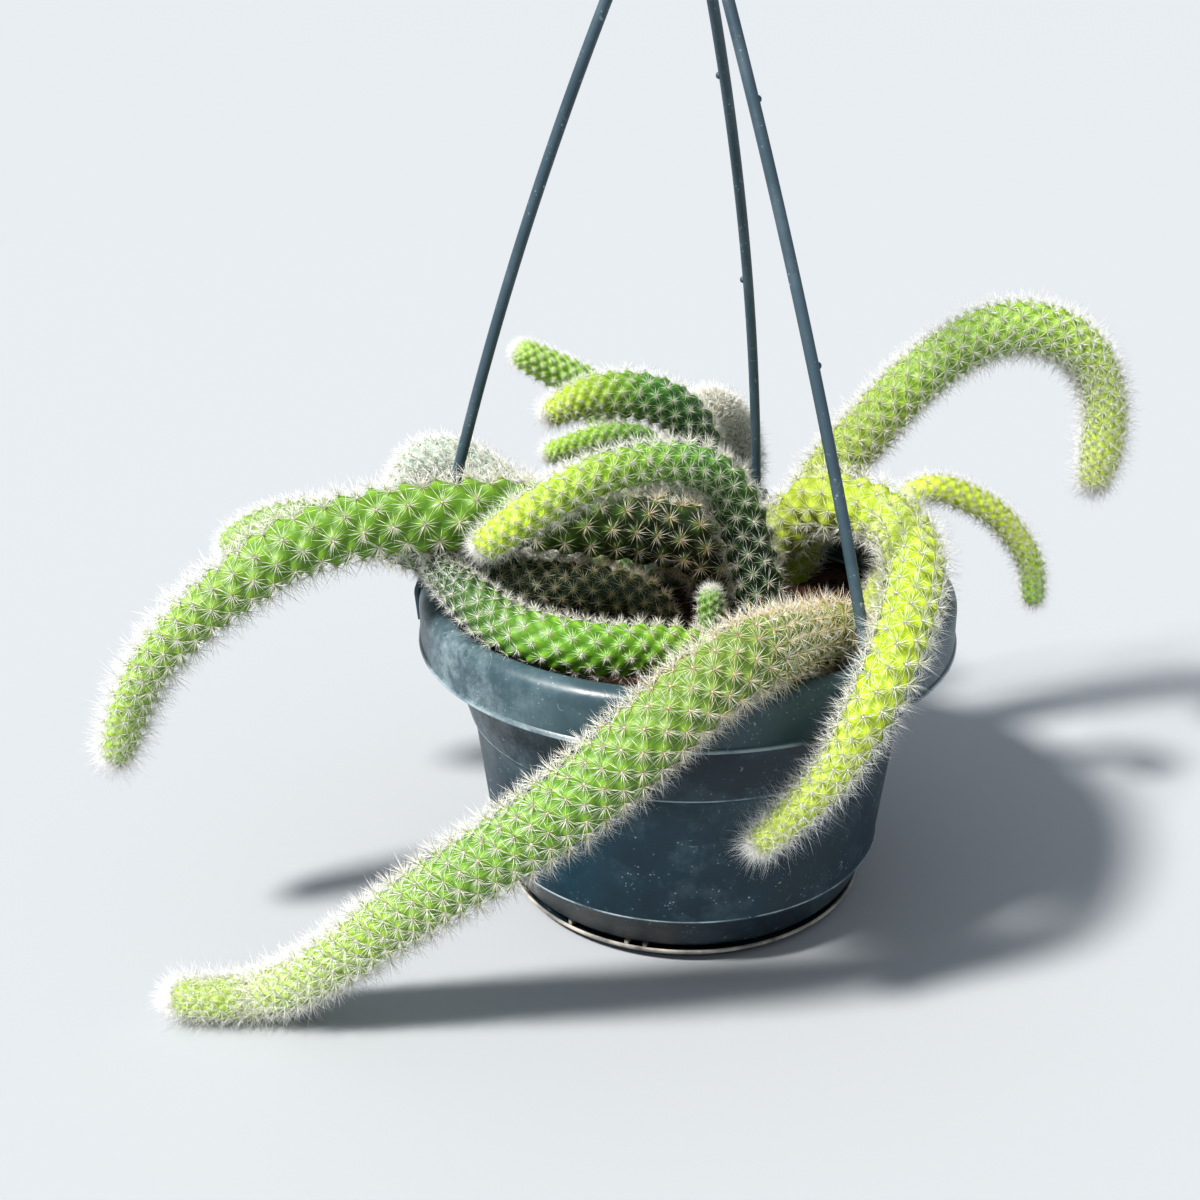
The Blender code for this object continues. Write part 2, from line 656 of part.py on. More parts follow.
def skin_of(axis, rings, columns):
    """The vertices of a stem's skin, row by row from its foot, and its tubercles' tips as
    (vertex, row, column, way out, way along)."""
    verts, apexes = [], []
    x, y, radius = axis[0][0], axis[0][1], axis[0][3]
    for height in (SOIL_TOP - STEM_DEPTH, rings[0][0].z):
        for j in range(columns):
            angle = math.tau * j / columns
            verts.append(Vector((x + radius * math.cos(angle), y + radius * math.sin(angle), height)))
    side = Vector((1, 0, 0))
    for i, (centre, way, radius) in enumerate(rings[1:], start=2):
        side = (side - way * side.dot(way)).normalized()
        up = way.cross(side)
        for j in range(columns):
            angle = math.tau * j / columns
            out = side * math.cos(angle) + up * math.sin(angle)
            place = centre + out * radius * VALLEY
            if (i + j) % 2 == 0:
                apexes.append((len(verts), i, j, out, way))
                place = centre + out * radius + way * APEX_LEAN
            place.z = max(place.z, 0.0)
            verts.append(place)
    return verts, apexes


def skin_faces(levels, columns):
    """The skin's triangles. Each holds at most one tubercle's tip, and that comes first."""
    faces = []
    for i in range(levels - 1):
        for j in range(columns):
            k = (j + 1) % columns
            a, b = i * columns + j, i * columns + k
            c, d = b + columns, a + columns
            faces += [(a, b, d), (c, d, b)] if (i + j) % 2 == 0 else [(b, c, a), (d, a, c)]
    pole = levels * columns
    for j in range(columns):
        low = pole - columns + j
        high = pole - columns + (j + 1) % columns
        faces.append((low, high, pole) if (levels - 1 + j) % 2 == 0 else (high, pole, low))
    return faces


def add_spine(verts, apex, aim, length, fan):
    """Puts a spine on a tubercle: a thin three-sided spike, and the faces that join its
    base to the corners round the tubercle. fan gives the corner after each corner."""
    loop = [min(fan)]
    while len(loop) < len(fan):
        loop.append(fan[loop[-1]])
    centre = verts[apex]
    towards = verts[loop[0]] - centre
    across = (towards - aim * towards.dot(aim)).normalized()
    up = aim.cross(across)
    base = len(verts)
    for k in range(3):
        angle = math.tau * k / 3
        turn = across * math.cos(angle) + up * math.sin(angle)
        verts.append(centre + turn * SPINE_BASE - aim * 0.12)
    verts.append(centre + aim * length)
    bearings = []
    for corner in loop:
        way = verts[corner] - centre
        bearings.append(math.atan2(way.dot(up), way.dot(across)) % math.tau)
    bearings[0] = 0.0
    bearings.append(math.tau)
    faces = []
    i = k = 0
    while i < len(loop) or k < 3:
        corner, ring = loop[i % len(loop)], base + k % 3
        next_turn = math.tau * (k + 1) / 3 if k < 3 else math.inf
        if i < len(loop) and bearings[i + 1] <= next_turn:
            i += 1
            faces.append((corner, loop[i % len(loop)], ring))
        else:
            k += 1
            faces.append((corner, base + k % 3, ring))
    for k in range(3):
        faces.append((base + k, base + (k + 1) % 3, base + 3))
    return faces


def make_stem(name, axes, strands):
    """A stem: a tube whose skin is a lattice of low pyramids, the tubercles, with a spine
    on every second one. It is rooted by a plain round foot."""
    axis = axes[name]
    thick = axis[:, 3].max() > THICK_STEM
    ribs, row = (THICK_RIBS, THICK_ROW) if thick else (THIN_RIBS, THIN_ROW)
    full = SPINE_LENGTH if thick else SPINE_LENGTH * THIN_SPINES
    columns = 2 * ribs
    draw = random.Random(name)
    rings, tip = stem_rows(axis, row)
    verts, apexes = skin_of(axis, rings, columns)
    levels = len(rings) + 1
    verts.append(tip)
    way = rings[-1][1]
    wanted = [(len(verts) - 1, way, 0.0, way)]
    for index, i, j, out, way in apexes:
        shoulder = i == levels - 2
        if 2 < i < levels - 1 and (shoulder or (i // 2 + j // 2) % 2 == 0):
            wanted.append((index, out, TIP_SPINE_LIFT if shoulder else SPINE_TILT, way))

    fans = {}
    for index, out, lift, way in wanted:
        wander = Vector([draw.uniform(-1, 1) for _ in range(3)]) * SPINE_JITTER
        aim = (out + way * lift + wander).normalized()
        length = full * draw.uniform(0.86, 1.08)
        length = spine_length(name, np.array(verts[index]), np.array(aim), length, axes, strands)
        if length and verts[index].z > 1:
            fans[index] = (aim, length, {})

    faces = [list(reversed(range(columns)))]
    for face in skin_faces(levels, columns):
        peak = next((k for k in face if k in fans), None)
        if peak is None:
            faces.append(face)
            continue
        at = face.index(peak)
        fans[peak][2][face[(at + 1) % 3]] = face[(at + 2) % 3]
    for index, (aim, length, fan) in fans.items():
        faces += add_spine(verts, index, aim, length, fan)

    shape = bmesh.new()
    points = [shape.verts.new(v * MM) for v in verts]
    for face in faces:
        shape.faces.new([points[k] for k in face])
    loose = [v for v in shape.verts if not v.link_faces]
    bmesh.ops.delete(shape, geom=loose, context="VERTS")
    mesh = bpy.data.meshes.new(name)
    shape.to_mesh(mesh)
    shape.free()
    return add_object(name, mesh, STEM_FINISH.get(name, "stem_green"))


def main():
    clear_scene()
    axes = {name: smooth_route(spec) for name, spec in STEMS.items()}
    strands = np.array([p for spec in STRANDS.values() for p in strand_line(**spec, steps=140)])
    make_saucer()
    make_pot()
    make_soil([(axis[0][0], axis[0][1], axis[0][3]) for axis in axes.values()])
    for name, spec in STRANDS.items():
        make_strand(name, **spec)
    make_hanger_top()
    for name in STEMS:
        make_stem(name, axes, strands)


main()
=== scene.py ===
"""Looks of the potted monkey tail cactus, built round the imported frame. Metres, +Z up; the
origin is under the pot's middle, on the table. Sizes are in millimetres, times MM."""

import json
import math
from contextlib import contextmanager

import bmesh
import bpy
import numpy as np
from mathutils import Matrix, Vector

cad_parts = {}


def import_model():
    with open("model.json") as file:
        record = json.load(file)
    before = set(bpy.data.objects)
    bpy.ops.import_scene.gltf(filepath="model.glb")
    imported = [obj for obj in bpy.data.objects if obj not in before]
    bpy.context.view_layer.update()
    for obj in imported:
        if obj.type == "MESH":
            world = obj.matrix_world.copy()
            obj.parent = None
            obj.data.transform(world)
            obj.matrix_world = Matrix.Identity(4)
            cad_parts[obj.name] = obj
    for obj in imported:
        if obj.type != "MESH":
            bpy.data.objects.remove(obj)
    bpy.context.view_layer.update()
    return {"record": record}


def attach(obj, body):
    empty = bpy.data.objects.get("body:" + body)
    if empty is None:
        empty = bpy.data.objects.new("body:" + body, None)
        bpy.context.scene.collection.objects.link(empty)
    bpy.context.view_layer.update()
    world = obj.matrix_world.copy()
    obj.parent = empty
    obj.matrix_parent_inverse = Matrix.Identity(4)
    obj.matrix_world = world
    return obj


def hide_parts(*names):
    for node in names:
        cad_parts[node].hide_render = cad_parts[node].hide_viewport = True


MM = 0.001

# Points closer than this, in metres, are made one
MERGE_REACH = 1e-6

# Camera, as the photograph's: a 1600 px focal length on a 1200 px frame
CAMERA_PLACE = (-0.0267, -0.4552, 0.2968)
CAMERA_LENS = 48
CAMERA_SENSOR = 36
CAMERA_TILT = 66.05
CAMERA_ROLL = -0.66

# Studio
KEY_FROM = (-0.72, -0.42, 1.05)
KEY_STRENGTH = 5.1
KEY_SPREAD = 9
KEY_COLOUR = (1.0, 0.97, 0.92)
SKY_COLOUR = (0.87, 0.93, 1.0)
SKY_STRENGTH = 0.48
FLOOR_COLOUR = (0.41, 0.43, 0.456)
BACKDROP_COLOUR = (0.66, 0.70, 0.74)
FLOOR_SIZE = 14
FLOOR_DROP = 0.0002

# Pot
RIM_RADIUS = 82.5
RIM_TOP = 102.6
SHOULDER = 5.0
BAND_BOTTOM = 86.0
SKIRT_WALL = 1.4
LIP = 0.7
NECK_RADIUS = 75.4
STEP_RADIUS = 68.6
STEP_HEIGHT = 62.6
WAIST_RADIUS = 67.3
RIDGE_RADIUS = 62.4
RIDGE_HEIGHT = 18.0
FOOT_RADIUS = 55.8
FOOT_HEIGHT = 4.6
POT_WALL = 1.7
DRAIN_HOLES = 6
DRAIN_RADIUS = 1.9
DRAIN_CIRCLE = 36.0
DRAIN_DEPTH = 6
TURNS = 144

# Edges of the pot and saucer that are rubbed pale, height and half width, the place on the rim
# where dust has caked, its pale patch there also a painted highlight, and the colour of the
# painted highlight over the rim's band and how much of it there is
RUBBED_EDGES = ((BAND_BOTTOM + 0.5, 0.7), (STEP_HEIGHT + 0.1, 0.4), (RIDGE_HEIGHT, 0.4))
SAUCER_LIP = ((4.2, 2.0),)
DUST_AND_HIGHLIGHT_PLACE = (-0.070, -0.044, 0.092)
DUST_AND_HIGHLIGHT_REACH = 0.045
PAINTED_BAND_HIGHLIGHT = (0.075, 0.125, 0.148)
PAINTED_BAND_HIGHLIGHT_SHARE = 0.62

# Plastics: the least and the most worn colour, the dust's, how much dust there is, and how
# rough the plastic is where it is smoothest
POT_PLASTIC = ((0.003, 0.015, 0.026), (0.010, 0.041, 0.062), (0.36, 0.45, 0.49), 0.15, 0.28)
SAUCER_PLASTIC = (*POT_PLASTIC[:2], (0.62, 0.57, 0.50), 0.15, 0.30)
HANGER_PLASTIC = ((0.040, 0.070, 0.092), (0.062, 0.100, 0.128), (0.34, 0.42, 0.46), 0.14, 0.36)

# Saucer
SAUCER_RADIUS = 57.9
SAUCER_HEIGHT = 4.2
SAUCER_WALL = 1.4
TAB_BEARINGS = (-111, -132, -105)
TAB_INNER, TAB_OUTER, TAB_WIDTH = 49.0, 55.6, 1.4
TAB_FOOT, TAB_TOP = 1.0, 4.3

# Rounding of the edges of the tabs and of the clips
EDGE_ROUND = 0.25

# Soil
SOIL_TOP = 84.0
SOIL_RADIUS = 72.6
SOIL_FLOOR = 60.0

# Top of the soil: its rings, how high and how close its heaps and its lumps are, and its
# crumbs, each as large as the least one and a random share of the extra size
BED_TURNS, BED_RINGS = 150, 40
HEAP_HEIGHT, HEAP_WAVES, HEAP_SEED = 1.1, 0.09, 5
LUMP_HEIGHT, LUMP_WAVES, LUMP_SEED = 0.5, 0.6, 6
CRUMBS, CRUMB_SEED = 1000, 11
CRUMB_LEAST, CRUMB_EXTRA = 0.35, 1.5
CRUMB_STRETCH = (0.55, 1.25)
CRUMB_RISE = 0.25

# Hanger
STRAND_RADIUS = 1.7
STRAND_SEAT = 77.5
STRAND_TOP = 306.0
STRAND_SPREAD = 3.4
STRANDS = {
    "strand_left": {"bearing": 178, "bow": 5.8},
    "strand_back": {"bearing": 68.5, "bow": 17},
    "strand_right": {"bearing": -53.4, "bow": 4.6},
}
NUB_HEIGHTS = (180, 246)
NUB_RADIUS = 1.1
CLIP_WIDTH = 6.0
CLIP_THICKNESS = 1.5
CLIP_GAP = 0.35
CLIP_SHARP = 50
HUB_X, HUB_Y = -3.6, 6.0
HUB_BOTTOM = 299.0
HUB_RADIUS = 6.8
HUB_TOP = 317.0
HUB_TURNS = 64
HOOK_WIRE = 2.2
HOOK_RADIUS = 13.0
HOOK_SHANK = 8.0
HOOK_END = 205

# Stems: the depths in the soil that an axis starts at, the height above the soil that it runs
# upright to, the length that sets it upright, how thick its foot is against its route's first
# point, and how close its points are
PLUG_DEPTHS = (10, 4)
COLLAR = 2.5
UPRIGHT_REACH = 12
FOOT_TAPER = 0.97
ROUTE_STEP = 1.5

# Each stem's foot in the soil, x and y, and then the route of its axis: x, y, z, radius
STEMS = {
    "stem_front": [
        (47, -32), (46, -35, 94.5, 9.3), (40.5, -42.5, 101.8, 9.5), (30, -55, 105.9, 9.4),
        (20.2, -70, 111.4, 9.7), (9.1, -86, 114.9, 9.7), (-1.7, -95, 111.3, 9.6),
        (-13.2, -100.5, 103.3, 9.7), (-27.2, -100.5, 89, 10), (-41.7, -98, 75.1, 9.9),
        (-56.6, -96, 62.9, 9.6), (-70.7, -93, 51.3, 9.2), (-85.3, -90, 38.7, 8.6),
        (-99, -87, 26.1, 7.9), (-112.3, -84.5, 15.5, 7.2), (-126.4, -80.1, 7.1, 6.6),
        (-136.6, -81, 6.7, 6.2), (-145.7, -80.3, 6.3, 5.8),
    ],
    "stem_left": [
        (14, 19), (11, 19, 95, 9.4), (2.8, 18, 106.1, 11.2), (-13.9, 12, 113.1, 11.4),
        (-31, 0, 120.7, 11.3), (-46.9, -11, 127, 11.1), (-60, -18, 130.5, 10.9),
        (-72.6, -23, 131.9, 10.7), (-87.9, -28, 132.5, 10), (-102.1, -33, 131, 9.6),
        (-115.6, -37, 127, 9), (-126.7, -40, 120.1, 8.3), (-136.3, -42, 113.7, 7.6),
        (-146.4, -43, 104.9, 7), (-154.6, -43, 95.9, 6.4), (-161.2, -43, 85.3, 6.2),
        (-165.4, -43, 75.9, 5.8), (-168.2, -43, 68.3, 4.8),
    ],
    "stem_left_rear": [
        (-10, -3), (-13.8, -5, 94.6, 8.3), (-27.6, -11, 102.5, 8.2), (-50, -14.5, 107.2, 7.9),
        (-70, -12, 113.3, 7.8), (-88.3, -2, 116.3, 7.8), (-105.4, 11, 116.3, 7.8),
        (-121.5, 22, 113.3, 7.7), (-135.2, 28, 108.3, 7.3), (-144.1, 31, 103.1, 6.4),
    ],
    "stem_rim": [
        (5, -40), (0.1, -42, 95, 8), (-11.9, -49, 100.4, 8), (-26.9, -54.5, 103.6, 7.9),
        (-42.1, -54, 106.6, 7.8), (-52.8, -49, 108.7, 7.5), (-60.9, -43, 112.6, 6.9),
        (-68.2, -34, 115.2, 6), (-72.6, -29, 117.2, 4.9),
    ],
    "stem_arch": [
        (24, -2), (23, -1, 94.4, 7.6), (21.6, 0, 102.5, 7.8), (19.3, 1, 112.1, 8),
        (16, 1, 123, 7.9), (10.5, 0, 133.1, 7.4), (1.7, -4, 139.7, 7.1),
        (-8.7, -11, 143.1, 6.7), (-19.1, -18, 143.9, 6.7), (-29.2, -25, 143.1, 6.5),
        (-39.1, -31, 140, 6.1), (-48.9, -36, 135.4, 5.8), (-57, -39, 130.4, 5),
    ],
    "stem_bud": [
        (6.5, -20), (6.5, -20, 93, 4.4), (6.3, -20, 103.1, 4),
    ],
    "stem_right": [
        (16, 39), (19, 38.5, 95, 8.6), (35.6, 31.5, 106.9, 9.3), (41.7, 26, 115.9, 9.9),
        (49.5, 15, 119.9, 9.9), (56.8, 3, 122.3, 9.2), (63.2, -13, 121.7, 8.9),
        (62.5, -38, 120.9, 8.6), (57.3, -59, 116.8, 8.2), (50.3, -77, 110.3, 7.4),
        (43.3, -86.5, 100.8, 6.4), (35.8, -89, 86.5, 5.7), (27.1, -91, 76.3, 5.2),
        (20.5, -93, 70.5, 4.7), (16.1, -95, 67.5, 4.1),
    ],
    "stem_high": [
        (37.5, 43), (41, 46, 95, 8.4), (48.4, 52, 112.5, 8.9), (57, 55, 124.1, 8.9),
        (63.8, 56, 131.4, 8.9), (73.8, 56.5, 143.3, 8.7), (86.5, 58, 154.3, 8.6),
        (98.7, 58, 161.8, 8.8), (111.9, 57, 164.9, 8.7), (123.8, 55.5, 162.5, 8.3),
        (132.9, 54, 156.5, 7.6), (138.5, 52.5, 146.7, 7), (140.7, 51, 135.6, 7),
        (140.5, 50, 124.8, 6.6), (139.6, 50, 116.7, 5.5),
    ],
    "stem_small": [
        (60, 8), (65, 12, 101, 4.6), (68.6, 17, 116.2, 4.4), (73.6, 19, 122.1, 4.4),
        (81.4, 19, 123.2, 4.5), (88.1, 18.5, 120.8, 4.7), (94.9, 18, 117.6, 4.5),
        (101.4, 18, 112.4, 4.4), (106.7, 18, 105.9, 4.3), (111.4, 18, 97.9, 4.2),
        (113.4, 18, 87.3, 3.8),
    ],
    "stem_back_arch": [
        (-7, 33), (-2.6, 38.5, 106.1, 7.6), (5.2, 41, 124.3, 7.7), (4.8, 42, 135.3, 7.8),
        (0.1, 41, 142.1, 7.7), (-7.7, 39.5, 147, 7.8), (-18, 37, 149.7, 7.8),
        (-27.2, 34, 150.2, 7), (-34.2, 31, 149.2, 5.9), (-39.2, 29, 147.3, 4.8),
    ],
    "stem_back_small": [
        (-17, 41), (-17, 45, 99, 4.6), (-13.5, 52, 112.9, 4.7), (-8.7, 54, 120.3, 4.8),
        (-10, 55, 127.1, 4.9), (-18.4, 53, 130.6, 4.9), (-31, 48, 130.3, 4.6),
        (-40.9, 43, 128.7, 3.9),
    ],
    "stem_back_tip": [
        (-27, 50), (-27, 55, 99, 5.7), (-27.2, 62, 118.2, 6), (-25.3, 66, 133.2, 6),
        (-29.2, 67, 143.1, 6.1), (-38.6, 66, 148.7, 6.2), (-49.7, 64, 155.2, 5.4),
    ],
    "stem_back_left": [
        (-40, 40), (-44.9, 43, 98.1, 7), (-53.1, 48, 108.8, 7), (-61.9, 53, 114.9, 7.1),
        (-71, 56, 119.7, 7.1), (-79.1, 58, 121.9, 6.9), (-86.2, 60, 119.9, 6.8),
        (-90.8, 62, 113.5, 6.6), (-93.7, 64, 103.7, 6.3), (-95.4, 65, 93.7, 5.6),
    ],
    "stem_back": [
        (-7, 56), (-5, 60, 100, 7.4), (0.9, 65, 118.9, 7), (4, 68, 128.7, 7),
        (10.3, 76, 131.8, 7.1), (18.2, 87, 126.1, 7.2), (23.8, 96, 113.8, 7.2),
        (26, 101, 100.5, 6.8), (25.7, 103, 89.2, 5.8),
    ],
}

# Skin of the stems: the rows of tubercles that wind left round each stem, one more than wind
# right, and their pitch along it against its radius, for the usual rows both ways
ROWS = {
    "stem_front": 8, "stem_left": 6, "stem_left_rear": 8, "stem_rim": 7, "stem_arch": 6,
    "stem_bud": 6, "stem_right": 6, "stem_high": 8, "stem_small": 6, "stem_back_arch": 7,
    "stem_back_small": 6, "stem_back_tip": 7, "stem_back_left": 8, "stem_back": 8,
}
USUAL_ROWS = 15
PITCH = 0.64
TIP_PITCH = 0.54
TIP_REACH = 45.0
LEAST_PITCH = 1.3
VALLEY_DEPTH = 0.30
FACET_SHARE = 0.5
APEX_LEAN = 0.15
DOME_POWER = 0.62
TUBERCLE_STEPS = 5
AXIS_STEP = 0.8
DOME_RINGS = 14
WAY_PASSES = 6
SKIN_MERGE = 0.0005

# The skin is plain for a length at its foot, its tubercles rise over the next length, and
# they sink again round the tip. A length at the foot and one at the tip have no areoles
PLAIN_LENGTH, RISE_LENGTH = 3, 10
TIP_CALM = 0.6
BARE_FOOT, BARE_TIP = 9, 0.6

# Stem radius at which spines have their full size, the least and the greatest size, and how
# much of the thickness follows it
FULL_SPINES = 9.4
SPINE_SIZES = (0.62, 1.1)
THICK_START, THICK_GAIN = 0.7, 0.3

# Spines and hair of one areole: count, leans from upright in degrees, lengths, thickness and
# how golden they are before the stem's own gold and their age count
RADIALS = {"count": 14, "lean": (52, 84), "length": (4.4, 6.4), "thick": 0.11, "gold": 0.28}
CENTRALS = {"count": 3, "lean": (6, 36), "length": (4.4, 6.6), "thick": 0.125, "gold": 0.6}
CUSHIONS = {"count": 1, "lean": (0, 0), "length": (0.85, 1.0), "thick": 0.5, "gold": 0.9}
FLUFF = {"count": 7, "lean": (12, 74), "length": (4.6, 7.0), "thick": 0.075}
HAIRS = {"count": 2, "lean": (20, 70), "length": (5.6, 8.4), "thick": 0.075}
KINDS = (
    ("spines", RADIALS),
    ("spines", CENTRALS),
    ("cushions", CUSHIONS),
    ("fluff", FLUFF),
    ("hair", HAIRS),
)

# Each areole has a turned copy of one of a few stars of spines, unevenly spread. Their roots
# are sunk in the skin and they lean towards the stem's tip. Two ways whose cross product is
# shorter than the end's are taken as one way, and a nudge keeps it from being zero
STARS = 7
UNEVEN = 0.3
ROOT_DEPTH = 0.25
AREOLE_LEAN = 0.28
END_CROSS = 0.2
NUDGE = 1e-6

# How spines and hair vary, and what differs at the young tip: their length, as a share that
# all have and one that the tip adds or takes, and how much thinner and fewer the spines are
LENGTH_SPREAD = (0.85, 1.12)
THICK_SPREAD = (0.8, 1.2)
HAIR_BEND = (0.08, 0.34)
YOUNG_LENGTHS = {"spines": (1, -0.25), "fluff": (0.85, 0.2), "hair": (0.85, 0.2)}
YOUNG_THIN = 0.35
YOUNG_LOSS = 0.3

# Gold of the spines: how much it varies, how much more old ones have, and the line by which
# it falls up the stem, then the colours of the spines and of the hair
GOLD_SPREAD = 0.22
AGED_GOLD = 0.5
GOLD_START, GOLD_FALL = 1.25, 1.5
CREAM, GOLDEN, WHITE = (0.98, 0.97, 0.86), (0.86, 0.58, 0.22), (0.99, 0.99, 0.99)

# Room that spine tips leave over the table and the soil, round the rim, inside it and over
# it, and round a strand, and the slope of the wall that they stay outside of. They stay out
# of a share of the radius of every stem with a point this near, and hair stays off the table
TABLE_ROOM, SOIL_ROOM = 0.3, 0.5
RIM_ROOM, RIM_INSIDE, RIM_RISE = 1, 2.4, 0.2
WALL_SLOPE = 0.45
STRAND_ROOM = 0.1
STEM_SHARE = 0.93
NEIGHBOURHOOD = 12
HAIR_ROOM = 0.1

# Where along a stem, from 0 to 1, the middle's green starts and is full, and then the tip's
USUAL_STAGES = (0.22, 0.47, 0.64, 0.97)
STAGES = {
    "stem_front": (0.22, 0.47, 0.62, 0.90),
    "stem_rim": (0.10, 0.45, 0.56, 0.84),
    "stem_arch": (0.30, 0.52, 0.50, 0.88),
    "stem_back_arch": (0.50, 0.70, 0.70, 0.97),
    "stem_small": (0.20, 0.40, 0.76, 0.97),
}

# Each stem's greens at its root, its middle and its tip. Some are painted shade, darkened where
# the stem lies in shadow: stem_left's root, stem_left_rear's root and middle, stem_rim's tip
# and stem_arch's root
GREENS = {
    "stem_front": ((0.20, 0.26, 0.04), (0.16, 0.34, 0.018), (0.40, 0.55, 0.04)),
    # Painted shade: the root is darkened where it lies in shadow under the arch
    "stem_left": ((0.02, 0.045, 0.010), (0.17, 0.34, 0.022), (0.36, 0.54, 0.05)),
    # Painted shade: the root and the middle are darkened where the stem lies in shadow
    "stem_left_rear": ((0.012, 0.030, 0.007), (0.03, 0.075, 0.010), (0.28, 0.46, 0.05)),
    # Painted shade: the tip is darkened where it lies in shadow under stem_left
    "stem_rim": ((0.32, 0.54, 0.025), (0.18, 0.40, 0.024), (0.018, 0.062, 0.020)),
    # Painted shade: the root, the arch's leg, is darkened where it lies in shadow
    "stem_arch": ((0.015, 0.06, 0.020), (0.13, 0.38, 0.016), (0.50, 0.64, 0.02)),
    "stem_bud": ((0.12, 0.24, 0.04), (0.15, 0.30, 0.04), (0.20, 0.38, 0.05)),
    "stem_right": ((0.36, 0.44, 0.02), (0.40, 0.52, 0.004), (0.46, 0.58, 0.015)),
    "stem_high": ((0.37, 0.47, 0.015), (0.25, 0.43, 0.015), (0.52, 0.64, 0.03)),
    "stem_small": ((0.46, 0.57, 0.015), (0.50, 0.62, 0.006), (0.22, 0.44, 0.02)),
    "stem_back_arch": ((0.012, 0.045, 0.020), (0.07, 0.24, 0.020), (0.52, 0.64, 0.012)),
    "stem_back_small": ((0.08, 0.20, 0.02), (0.17, 0.40, 0.014), (0.38, 0.60, 0.016)),
    "stem_back_tip": ((0.16, 0.28, 0.05), (0.26, 0.48, 0.06), (0.40, 0.60, 0.10)),
    "stem_back_left": ((0.24, 0.29, 0.25), (0.44, 0.50, 0.46), (0.60, 0.66, 0.61)),
    "stem_back": ((0.24, 0.22, 0.18), (0.40, 0.38, 0.33), (0.50, 0.50, 0.44)),
}

# How corky each stem's old end is, how golden its spines are, how long and how stout its
# spines and hair are, and how much painted shade darkens its grooves
COATS = {
    "stem_front": (0.7, 1.0, 1.0, 0.85, 0.9),
    "stem_left": (0.4, 0.9, 1.1, 0.95, 0.9),
    "stem_left_rear": (0.4, 1.0, 0.8, 0.7, 1.0),
    "stem_rim": (0.1, 0.3, 0.74, 0.85, 1.0),
    "stem_arch": (0.1, 0.15, 1.0, 0.85, 1.0),
    "stem_bud": (0.1, 0.2, 0.75, 0.75, 1.0),
    "stem_right": (0.3, 0.1, 1.05, 0.75, 0.7),
    "stem_high": (0.5, 0.25, 1.05, 0.85, 0.8),
    "stem_small": (0.1, 0.1, 1.1, 0.65, 0.5),
    "stem_back_arch": (0.1, 0.2, 0.85, 0.75, 1.0),
    "stem_back_small": (0.1, 0.2, 0.95, 0.7, 1.0),
    "stem_back_tip": (0.1, 0.2, 0.75, 0.7, 0.8),
    "stem_back_left": (0.2, 0.1, 1.15, 1.1, 0.8),
    "stem_back": (0.6, 0.5, 1.15, 1.1, 0.8),
}


def feed(tree, made, inputs):
    """Sets a node's inputs. A value is a number, a colour or the socket to link."""
    for key, value in inputs.items():
        if isinstance(value, bpy.types.NodeSocket):
            tree.links.new(value, made.inputs[key])
        else:
            made.inputs[key].default_value = value


def node(tree, kind, inputs=None, **settings):
    """Adds a shader node."""
    made = tree.nodes.new(kind)
    for key, value in settings.items():
        setattr(made, key, value)
    feed(tree, made, inputs or {})
    return made


def maths(tree, operation, *values):
    made = node(tree, "ShaderNodeMath", dict(enumerate(values)), operation=operation)
    return made.outputs[0]


def colour_mix(tree, share, first, second, blend="MIX"):
    first = (*first, 1) if isinstance(first, tuple) else first
    second = (*second, 1) if isinstance(second, tuple) else second
    made = node(tree, "ShaderNodeMix", {0: share, 6: first, 7: second}, data_type="RGBA", blend_type=blend)
    return made.outputs[2]


def ramp(tree, value, low, high, start=0.0, end=1.0):
    """A number that runs from start to end, held there, as value runs from low to high."""
    made = node(tree, "ShaderNodeMapRange", {0: value, 1: low, 2: high, 3: start, 4: end})
    return made.outputs[0]


def times(tree, first, second):
    return maths(tree, "MULTIPLY", first, second)


def noise(tree, place, scale, detail=3.0, rough=0.6):
    inputs = {"Vector": place, "Scale": scale, "Detail": detail, "Roughness": rough}
    return node(tree, "ShaderNodeTexNoise", inputs).outputs[0]


def start_material(name):
    """A new material, its tree, its shader and its object coordinates."""
    made = bpy.data.materials.new(name)
    made.use_nodes = True
    tree = made.node_tree
    shader = tree.nodes["Principled BSDF"]
    place = node(tree, "ShaderNodeTexCoord").outputs["Object"]
    return made, tree, shader, place


def height_of(tree, place):
    return node(tree, "ShaderNodeSeparateXYZ", {"Vector": place}).outputs["Z"]


def carried(tree, name):
    """A number that the mesh carries at each of its points."""
    return node(tree, "ShaderNodeAttribute", attribute_name=name).outputs["Fac"]


def bump(tree, shader, height, strength, distance):
    made = node(tree, "ShaderNodeBump", {"Height": height, "Strength": strength, "Distance": distance})
    feed(tree, shader, {"Normal": made.outputs[0]})


def worn_edges(tree, place, heights):
    """Thin broken lines, 1 where an edge at one of the heights is rubbed pale."""
    height = height_of(tree, place)
    patchy = ramp(tree, noise(tree, place, 75, 4), 0.32, 0.56)
    found = 0.0
    for level, width in heights:
        off = maths(tree, "ABSOLUTE", maths(tree, "SUBTRACT", height, level * MM))
        line = ramp(tree, off, width * MM, 0.4 * width * MM)
        found = maths(tree, "MAXIMUM", line, found)
    return times(tree, found, patchy)


